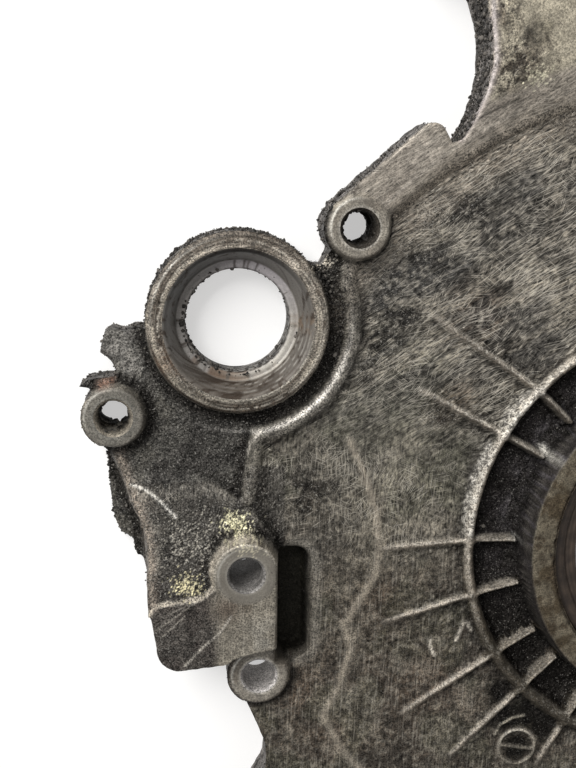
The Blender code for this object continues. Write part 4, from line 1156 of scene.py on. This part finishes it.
# %% Where the crumbs stick
def wall_crumbs(count, seed):
    """Points on the outer wall: a random place of the edge, at a random share of its height."""
    random = np.random.default_rng(seed)
    u = (wall_places[:, 0] - AXIS[0]) * MM
    v = (wall_places[:, 1] - AXIS[1]) * MM
    neck = np.exp(-((u + 62.0) / 9.0) ** 2) * (v > 98.0)
    lug = np.exp(-(((u + 92.0) / 16.0) ** 2 + ((v - 92.0) / 18.0) ** 2))
    shelf = np.exp(-(((u + 152.0) / 8.0) ** 2 + ((v - 14.0) / 22.0) ** 2))
    broken = np.exp(-(((u + 148.0) / 9.0) ** 2 + ((v - 48.0) / 10.0) ** 2))
    rim = np.exp(-((np.hypot(u + 121.1, v - 59.4) - 23.2) / 1.5) ** 2) * (v > 50.0)
    weight = 0.06 + 1.2 * neck + 0.5 * lug + 0.5 * shelf + 0.5 * broken + 0.9 * rim
    chance = np.cumsum(weight)
    pick = np.searchsorted(chance, random.random(count) * chance[-1])
    share = random.uniform(0.08, 0.97, count)
    out = random.normal(0.00003, 0.00012, count)
    places = wall_places[pick] * np.stack([np.ones(count), np.ones(count), share], axis=1)
    places[:, :2] += wall_outward[pick] * out[:, None]
    return places


def edge_crumbs(centre, radius, low, high, count, seed, bearing=0.0, spread=1000.0):
    """Points on the wall of a hole, thickest towards a bearing."""
    random = np.random.default_rng(seed)
    if spread < 360.0:
        angle = np.radians(random.normal(bearing, spread, count))
    else:
        angle = np.radians(random.uniform(0, 360, count))
    return np.stack([centre[0] + radius * np.cos(angle), centre[1] + radius * np.sin(angle),
                     random.uniform(low, high, count)], axis=1)


def lying_crumbs(chance, count, seed):
    """Points on the net, likelier where chance is high, just above the surface."""
    random = np.random.default_rng(seed)
    weight = np.cumsum((chance * metal).ravel())
    pick = np.searchsorted(weight, random.random(count) * weight[-1])
    jitter = random.uniform(-0.5, 0.5, (2, count)) * FINE
    return np.stack([X.ravel()[pick] + jitter[0], Y.ravel()[pick] + jitter[1],
                     height.ravel()[pick] + 0.00006], axis=1)


# %% Crumbs on the cover
seen = (U < 0.0) & (V > -70.0)
corner_dirt = concave ** 2 * quiet * seen * (1.0 - slot_floor) * (0.15 + raw_cast)
notch_dirt = spot(-100.2, 70.5, 3.0) + 0.7 * spot(-96.5, 66.0, 4.0) + 0.4 * spot(-98.5, 55.0, 4.0)
upper_bolt = middle_of("upper_left_bolt")
crumb_places = np.concatenate([
    wall_crumbs(4300, 201),
    edge_crumbs(upper_bolt, BOLT_RADIUS, 0.004, 0.0153, 130, 202),
    edge_crumbs(upper_bolt, BOLT_RADIUS, 0.0130, 0.0155, 50, 212, 170.0, 60.0),
    edge_crumbs(middle_of("left_bolt"), BOLT_RADIUS, 0.003, 0.0130, 120, 203, 250.0, 80.0),
    edge_crumbs(BORE, LEFT_THROUGH, 0.0050, LEFT_STEP, 150, 204, 200.0, 55.0),
    edge_crumbs(BORE, LEFT_THROUGH, 0.0030, LEFT_STEP, 90, 205),
    edge_crumbs(BORE, 0.0138, LEFT_STEP, LEFT_STEP + 0.0004, 60, 214, 190.0, 50.0),
    edge_crumbs(BORE, 0.0153, LEFT_STEP, LEFT_STEP + 0.0006, 16, 215, -13.0, 3.0),
    lying_crumbs(corner_dirt, 900, 206),
    lying_crumbs(notch_dirt * quiet, 420, 207)])
random_sizes = np.random.default_rng(208).lognormal(math.log(0.00014), 0.55, len(crumb_places))
neck_side = (crumb_places[:, 0] - AXIS[0] > -0.075) & (crumb_places[:, 1] - AXIS[1] > 0.098)
random_sizes = np.clip(random_sizes * np.where(neck_side, 1.35, 1.0), 0.00008, 0.00070)
bore_side = np.hypot(crumb_places[:, 0] - BORE[0], crumb_places[:, 1] - BORE[1]) < 0.0145
random_sizes = np.where(bore_side, random_sizes * 1.6, random_sizes)
crumbs = crumb_field("grime_crumbs", crumb_places, random_sizes, 1.5, 209)
print("crumbs", len(crumb_places), "with", len(crumbs.data.polygons), "triangles")


# %% [markdown]
# ## Materials
#
# One material dresses every aluminium surface, because it is one casting. Its colour starts from
# the attribute, and the nodes add what is finer than the net: crossing scratches, sand grains,
# dark specks and turning rings. Each kind is weighed by the marks. The roughness and the bump
# follow the same masks, so a scratch is also shinier and cut in.

# %% Node helpers
class Nodes:
    """Short ways to add nodes to one material."""

    def __init__(self, name):
        self.material = bpy.data.materials.new(name)
        self.material.use_nodes = True
        self.tree = self.material.node_tree
        self.shader = self.tree.nodes["Principled BSDF"]

    def add(self, kind, settings=None, **inputs):
        """A node with its settings, and its inputs given as numbers or as other outputs."""
        node = self.tree.nodes.new(kind)
        for key, value in (settings or {}).items():
            setattr(node, key, value)
        for key, value in inputs.items():
            self.feed(node.inputs[int(key[1:])] if key[0] == "i" and key[1:].isdigit()
                      else node.inputs[key.replace("_", " ")], value)
        return node

    def feed(self, socket, value):
        """Link an output to a socket, or set the socket's number."""
        if isinstance(value, bpy.types.NodeSocket):
            self.tree.links.new(value, socket)
        else:
            socket.default_value = value

    def math(self, operation, a, b=0.0):
        """One sum of two numbers."""
        return self.add("ShaderNodeMath", {"operation": operation}, i0=a, i1=b).outputs[0]

    def times(self, a, b):
        """a * b."""
        return self.math("MULTIPLY", a, b)

    def plus(self, a, b):
        """a + b."""
        return self.math("ADD", a, b)

    def minus(self, a, b):
        """a - b."""
        return self.math("SUBTRACT", a, b)

    def vector(self, operation, a, output=0, **inputs):
        """One sum with a vector or a colour."""
        node = self.add("ShaderNodeVectorMath", {"operation": operation}, i0=a, **inputs)
        return node.outputs[output]

    def place(self):
        """The point in the object's own metres."""
        return self.add("ShaderNodeTexCoord").outputs["Object"]

    def stored(self, name, output="Color"):
        """A value that was stored per point."""
        return self.add("ShaderNodeAttribute", {"attribute_name": name}).outputs[output]

    def parts(self, colour):
        """The three numbers of a colour."""
        return self.add("ShaderNodeSeparateColor", None, Color=colour).outputs

    def between(self, value, low, high):
        """0 at low, 1 at high, smooth between."""
        node = self.add("ShaderNodeMapRange", {"interpolation_type": "SMOOTHSTEP"}, Value=value,
                        From_Min=low, From_Max=high)
        return node.outputs[0]

    def ramp(self, value, low, high, at_low, at_high):
        """Straight from at_low to at_high as the value goes from low to high."""
        node = self.add("ShaderNodeMapRange", None, Value=value, From_Min=low, From_Max=high,
                        To_Min=at_low, To_Max=at_high)
        return node.outputs[0]

    def noise(self, vector, scale, detail=3.0, roughness=0.55):
        """Cloudy noise, about 0.5 in the mean."""
        node = self.add("ShaderNodeTexNoise", None, Vector=vector, Scale=scale, Detail=detail,
                        Roughness=roughness)
        return node.outputs["Fac"]

    def mix(self, factor, a, b):
        """Two colours mixed by a factor."""
        node = self.add("ShaderNodeMix", {"data_type": "RGBA"})
        self.feed(node.inputs[0], factor)
        self.feed(node.inputs[6], a)
        self.feed(node.inputs[7], b)
        return node.outputs[2]


def rgba(red, green, blue):
    """Screen colour as a shader colour."""
    return (*linear(red, green, blue), 1.0)


# %% Grain of the aluminium
def dashes(n, bearing, length, width):
    """Grain drawn out along one bearing: noise stretched to length by width."""
    node = n.add("ShaderNodeMapping", {"vector_type": "TEXTURE"}, Vector=n.here,
                 Rotation=(0.0, 0.0, math.radians(bearing)), Scale=(length, width, 1.0))
    return n.noise(node.outputs[0], 1.0, 2.0, 0.6)


def read_surface(n):
    """Place, colour and marks of the point, kept on the helper for all the layers."""
    n.here = n.place()
    n.tone = n.stored("tone")
    n.shade = n.add("ShaderNodeRGBToBW", None, Color=n.tone).outputs[0]
    n.turning = n.stored("turning", "Fac")
    n.rising, n.grained, n.upright = n.parts(n.stored("marks"))
    n.crossing, n.rubbed, n.mottled = n.parts(n.stored("wear_and_sheen"))


def grained_colour(n):
    """The stored colour times the grain: grit drawn out along the scratches, and clouds of dirt."""
    grit = n.noise(n.here, 2400.0, 2.0, 0.75)
    n.cloud = n.noise(n.here, 330.0, 5.0, 0.74)
    along = n.times(n.minus(dashes(n, 33.0, 0.0022, 0.00048), grit), n.rising)
    over = n.times(n.minus(dashes(n, 86.0, 0.0018, 0.00048), grit), n.times(n.crossing, 0.7))
    n.grit = n.plus(grit, n.plus(along, over))
    uneven = n.times(n.ramp(n.grit, 0.37, 0.63, 0.12, 2.05),
                     n.ramp(n.cloud, 0.39, 0.61, 0.60, 1.42))
    uneven = n.plus(n.times(n.minus(uneven, 1.0), n.mottled), 1.0)
    return n.vector("SCALE", n.tone, Scale=uneven)


# %% Directions of scratches, as rows of bearing, length, width and reach
RISING = ((21.0, 0.030, 0.00050, 0.26), (27.0, 0.024, 0.00048, 0.26),
          (33.0, 0.028, 0.00050, 0.26), (37.0, 0.020, 0.00046, 0.25),
          (42.0, 0.022, 0.00048, 0.25), (12.0, 0.018, 0.00046, 0.24),
          (54.0, 0.013, 0.00044, 0.24), (1.0, 0.014, 0.00044, 0.22),
          (-38.0, 0.011, 0.00044, 0.20), (76.0, 0.010, 0.00044, 0.20))
CROSSING = ((84.0, 0.018, 0.00048, 0.24), (96.0, 0.014, 0.00046, 0.24),
            (34.0, 0.014, 0.00046, 0.23), (9.0, 0.013, 0.00046, 0.22),
            (-24.0, 0.012, 0.00046, 0.22), (60.0, 0.011, 0.00044, 0.22),
            (122.0, 0.010, 0.00044, 0.20))
print(len(RISING), "rising and", len(CROSSING), "crossing directions of scratches")


def strongest(n, layers):
    """The largest of several layers."""
    total = layers[0]
    for layer in layers[1:]:
        total = n.math("MAXIMUM", total, layer)
    return total


def needles(n, bearing, length, width, reach):
    """Single straight scratches along one bearing. Each cell of a stretched Voronoi pattern has one
    needle round its point, reach cells long, and the cell's random colour says how deep it is."""
    node = n.add("ShaderNodeMapping", {"vector_type": "TEXTURE"}, Vector=n.here,
                 Rotation=(0.0, 0.0, math.radians(bearing)), Scale=(length, width, 1.0))
    cell = n.add("ShaderNodeTexVoronoi", {"voronoi_dimensions": "2D"}, Vector=node.outputs[0],
                 Scale=1.0)
    depth = n.parts(cell.outputs["Color"])[0]
    return n.times(n.between(cell.outputs["Distance"], reach, reach * 0.35),
                   n.ramp(depth, 0.35, 1.0, 0.0, 1.0))


# %% Scratches of the aluminium
def scratched_colour(n, colour):
    """Pale scratches and dark furrows. Scratches lie in bundles and are fainter on dark dirt."""
    bundles = n.between(n.noise(n.here, 70.0, 2.0), 0.34, 0.60)
    rising = strongest(n, [needles(n, *row) for row in RISING])
    crossing = strongest(n, [needles(n, *row) for row in CROSSING])
    upright = n.between(dashes(n, 88.0, 0.012, 0.00050), 0.52, 0.68)
    scratched = strongest(n, [
        n.times(n.times(rising, n.rising), n.ramp(bundles, 0.0, 1.0, 0.55, 1.0)),
        n.times(n.times(crossing, n.crossing), n.ramp(bundles, 0.0, 1.0, 0.20, 0.80)),
        n.times(n.times(upright, n.upright), 0.38)])
    n.scratched = n.times(scratched, n.ramp(n.shade, 0.006, 0.080, 0.10, 1.0))
    lifted = n.vector("SCALE", colour, Scale=n.plus(n.times(n.scratched, 0.90), 1.0))
    colour = n.mix(n.times(n.scratched, 0.85), lifted, rgba(204, 197, 184))
    furrows = n.times(n.between(dashes(n, 30.0, 0.010, 0.00075), 0.46, 0.32),
                      n.times(n.rising, 0.55))
    return n.mix(furrows, colour, rgba(44, 42, 40))


# %% Sand, flecks and turning rings of the aluminium
def spotted_colour(n, colour):
    """Spots where a noise passes a limit, each kind within its own mark."""
    n.sand = n.noise(n.here, 2300.0, 2.0, 0.7)
    flecks = n.noise(n.here, 1500.0, 2.0, 0.6)
    cuts = n.noise(n.here, 1250.0, 2.0, 0.6)
    specks = n.noise(n.here, 850.0, 3.0, 0.6)
    for pattern, none, full, mark, strength, shade in (
            (n.sand, 0.60, 0.70, n.grained, 0.72, (176, 173, 166)),
            (n.sand, 0.46, 0.36, n.grained, 0.75, (20, 19, 18)),
            # Bright flecks on rubbed crusts and, on the lit sides of the ribs, as painted
            # highlights.
            (flecks, 0.53, 0.59, n.rubbed, 0.75, (232, 226, 214)),
            (cuts, 0.46, 0.40, n.rubbed, 0.70, (52, 48, 44)),
            (specks, 0.34, 0.27, 1.0, 0.80, (30, 28, 26))):
        share = n.times(n.times(n.between(pattern, none, full), mark), strength)
        colour = n.mix(share, colour, rgba(*shade))
    return colour


def ringed_colour(n, colour):
    """Turning rings: sin(6.6 * radius in millimetres + 3.2 * cloud), broken by a second noise."""
    ripple = n.plus(n.times(n.turning, 6.6), n.times(n.cloud, 3.2))
    rings = n.times(n.math("SINE", ripple), n.between(n.turning, 1.0, 4.0))
    rings = n.times(rings, n.between(n.turning, 40.0, 38.0))
    broken = n.between(n.noise(n.here, 140.0, 3.0), 0.35, 0.62)
    n.rings = n.times(rings, n.times(broken, n.ramp(n.turning, 8.0, 12.0, 0.35, 1.0)))
    colour = n.mix(n.times(n.between(n.rings, 0.2, 1.0), 0.40), colour, rgba(48, 43, 38))
    return n.mix(n.times(n.between(n.rings, -0.4, -1.0), 0.24), colour, rgba(196, 190, 178))


# %% Worn aluminium
def relief(n):
    """Sand and grit stand up, rings ripple, scratches are cut in."""
    total = n.plus(n.times(n.sand, n.plus(n.times(n.grained, 0.9), 0.10)),
                   n.times(n.grit, n.times(n.mottled, 0.45)))
    total = n.plus(total, n.times(n.rings, 0.08))
    return n.minus(total, n.times(n.scratched, 0.16))


def aluminium(name):
    """The casting's material: all colour layers, duller where dark, shinier in scratches."""
    n = Nodes(name)
    read_surface(n)
    colour = ringed_colour(n, spotted_colour(n, scratched_colour(n, grained_colour(n))))
    roughness = n.minus(n.ramp(n.cloud, 0.3, 0.7, 0.46, 0.72), n.times(n.scratched, 0.16))
    bump = n.add("ShaderNodeBump", None, Strength=0.60, Distance=0.00032, Height=relief(n))
    n.feed(n.shader.inputs["Base Color"], colour)
    n.feed(n.shader.inputs["Roughness"], roughness)
    n.feed(n.shader.inputs["Specular IOR Level"], n.ramp(n.shade, 0.006, 0.110, 0.03, 0.45))
    n.feed(n.shader.inputs["Metallic"], 0.35)
    n.feed(n.shader.inputs["Normal"], bump.outputs[0])
    return n.material


worn_aluminium = aluminium("worn_aluminium")
cover_pieces = front_strips + [wall, back, bolt_walls, bore_wall, crank_wall]
for piece in cover_pieces:
    piece.data.materials.append(worn_aluminium)
print("material on", len(cover_pieces), "pieces")


# %% Dried grime
def grime(name):
    """Matt, nearly black, with the colour of each crumb from its attribute."""
    n = Nodes(name)
    dust = n.times(n.between(n.noise(n.place(), 3000.0, 2.0), 0.56, 0.70), 0.6)
    n.feed(n.shader.inputs["Base Color"], n.mix(dust, n.stored("tone"), rgba(128, 121, 110)))
    n.feed(n.shader.inputs["Roughness"], 0.85)
    return n.material


crumbs.data.materials.append(grime("dried_grime"))
for piece in cover_pieces + [crumbs]:
    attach(piece, "root")
    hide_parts("cover_casting")
print("casting dressed with", len(cover_pieces) + 1, "pieces")


# %% [markdown]
# ## The old shaft seal
#
# The seal is a steel ring with brown rubber on it, pressed into the crankshaft bore, and its thin
# lip ran on the shaft. It could be a curve with a screw modifier. Here the same function that
# turned the bores carries its profile round, so it ends up exactly concentric with them.

# %% Seal
def seal_material(name):
    """Brown rubber with fine turned bands; the radius comes from the Object coordinates."""
    n = Nodes(name)
    place = n.place()
    moved = n.vector("SUBTRACT", place, i1=(AXIS[0], AXIS[1], 0.0))
    radius = n.vector("LENGTH", n.vector("MULTIPLY", moved, i1=(1.0, 1.0, 0.0)), "Value")
    wave = n.math("SINE", n.times(radius, 5200.0))
    cloud = n.noise(place, 300.0, 4.0)
    colour = n.mix(n.between(cloud, 0.3, 0.7), rgba(44, 35, 29), rgba(72, 60, 50))
    colour = n.mix(n.times(n.between(wave, 0.4, 1.0), 0.4), colour, rgba(34, 27, 22))
    n.feed(n.shader.inputs["Base Color"], colour)
    n.feed(n.shader.inputs["Roughness"], 0.55)
    bump = n.add("ShaderNodeBump", None, Strength=0.3, Distance=0.0002, Height=wave)
    n.feed(n.shader.inputs["Normal"], bump.outputs[0])
    return n.material


SEAL_PROFILE = [(0.0384, 0.0174), (0.0387, 0.0171), (0.0387, 0.0084), (0.0371, 0.0084),
                (0.0371, 0.0142), (0.0332, 0.0142), (0.0315, 0.0096), (0.0300, 0.0096),
                (0.0297, 0.0104), (0.0322, 0.0158), (0.0348, 0.0159), (0.0361, 0.0174),
                (0.0384, 0.0174)]
seal_piece = turned_piece("shaft_seal", [turned(SEAL_PROFILE, AXIS, 260)])
seal_piece.data.materials.append(seal_material("brown_rubber"))
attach(seal_piece, "root")
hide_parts("crank_seal")
print("seal", len(seal_piece.data.polygons) * 2, "triangles")


# %% [markdown]
# ## Table, light and camera
#
# The cover lies on a white table. The camera stands above the left bosses, 0.27 m over the
# gasket face, and is tilted by thirteen degrees. One large window lights the cover from the upper
# left, and the room adds a weak even light.

# %% Table
def table():
    """A large pale plane just under the cover. To the camera it adds light of its own, so it
    comes out white and still keeps the cover's shadow."""
    side, depth = 3.0, -0.0001
    points = np.array([(-side, -side, depth), (side, -side, depth), (side, side, depth),
                       (-side, side, depth)])
    obj = mesh_of("table_top", points, np.array([[0, 1, 2, 3]]))
    n = Nodes("white_table")
    n.feed(n.shader.inputs["Base Color"], (0.56, 0.56, 0.56, 1.0))
    n.feed(n.shader.inputs["Roughness"], 0.8)
    n.feed(n.shader.inputs["Emission Color"], (1.0, 0.99, 0.98, 1.0))
    rays = n.add("ShaderNodeLightPath").outputs
    seen_rays = strongest(n, [rays["Is Camera Ray"], rays["Is Glossy Ray"],
                              rays["Is Transmission Ray"]])
    n.feed(n.shader.inputs["Emission Strength"], n.times(seen_rays, 0.50))
    obj.data.materials.append(n.material)


table()

# %% Light
world = bpy.data.worlds.new("room")
bpy.context.scene.world = world
world.use_nodes = True
background = world.node_tree.nodes["Background"]
background.inputs["Color"].default_value = (1.0, 1.0, 1.0, 1.0)
background.inputs["Strength"].default_value = 0.36


def window_light(name, direction, distance, side, watts, colour):
    """A square lamp that looks at the cover's middle from one direction."""
    lamp = bpy.data.lights.new(name, "AREA")
    lamp.shape = "SQUARE"
    lamp.size = side
    lamp.energy = watts
    lamp.color = colour
    obj = bpy.data.objects.new(name, lamp)
    way = np.array(direction) / np.linalg.norm(direction)
    middle = (COVER_LOW + COVER_HIGH) / 2.0
    right = np.cross((0.0, 0.0, 1.0), way)
    right /= np.linalg.norm(right)
    matrix = np.eye(4)
    matrix[:3, 0], matrix[:3, 1], matrix[:3, 2] = right, np.cross(way, right), way
    matrix[:3, 3] = middle + way * distance
    obj.matrix_world = Matrix(matrix.tolist())
    bpy.context.scene.collection.objects.link(obj)


window_light("window", (-0.75, 0.75, 0.90), 1.4, 0.8, 21.0, (1.0, 0.99, 0.97))

# %% Camera
IMAGE_HEIGHT = 768.0
FOCAL_PIXELS = 1041.0
SENSOR = 36.0
EYE = (-0.135, 0.0975, 0.267)
TILT = math.radians(13.2009)
TURN_SIN, TURN_COS = 0.4423, 0.8968
AWAY = np.array((-TURN_SIN, TURN_COS, 0.0))
SIDE = np.array((TURN_COS, TURN_SIN, 0.0))
DOWN = np.array((0.0, 0.0, -1.0))


def photo_camera():
    """Stands at EYE from the crankshaft axis and looks down, tilted by TILT against AWAY. The
    image's axes are AWAY and SIDE turned back, so that its right is the part's +x."""
    along = math.cos(TILT) * AWAY + math.sin(TILT) * DOWN
    forward = math.cos(TILT) * DOWN - math.sin(TILT) * AWAY
    right = -TURN_SIN * along + TURN_COS * SIDE
    up = TURN_COS * along + TURN_SIN * SIDE
    camera = bpy.data.cameras.new("photo_camera")
    camera.sensor_width = SENSOR
    camera.lens = FOCAL_PIXELS / IMAGE_HEIGHT * SENSOR
    camera.clip_start = 0.01
    obj = bpy.data.objects.new("photo_camera", camera)
    matrix = np.eye(4)
    matrix[:3, 0], matrix[:3, 1], matrix[:3, 2] = right, up, -forward
    matrix[:3, 3] = (AXIS[0] + EYE[0], AXIS[1] + EYE[1], EYE[2])
    obj.matrix_world = Matrix(matrix.tolist())
    bpy.context.scene.collection.objects.link(obj)
    bpy.context.scene.camera = obj


photo_camera()
bpy.context.scene.view_settings.view_transform = "Standard"
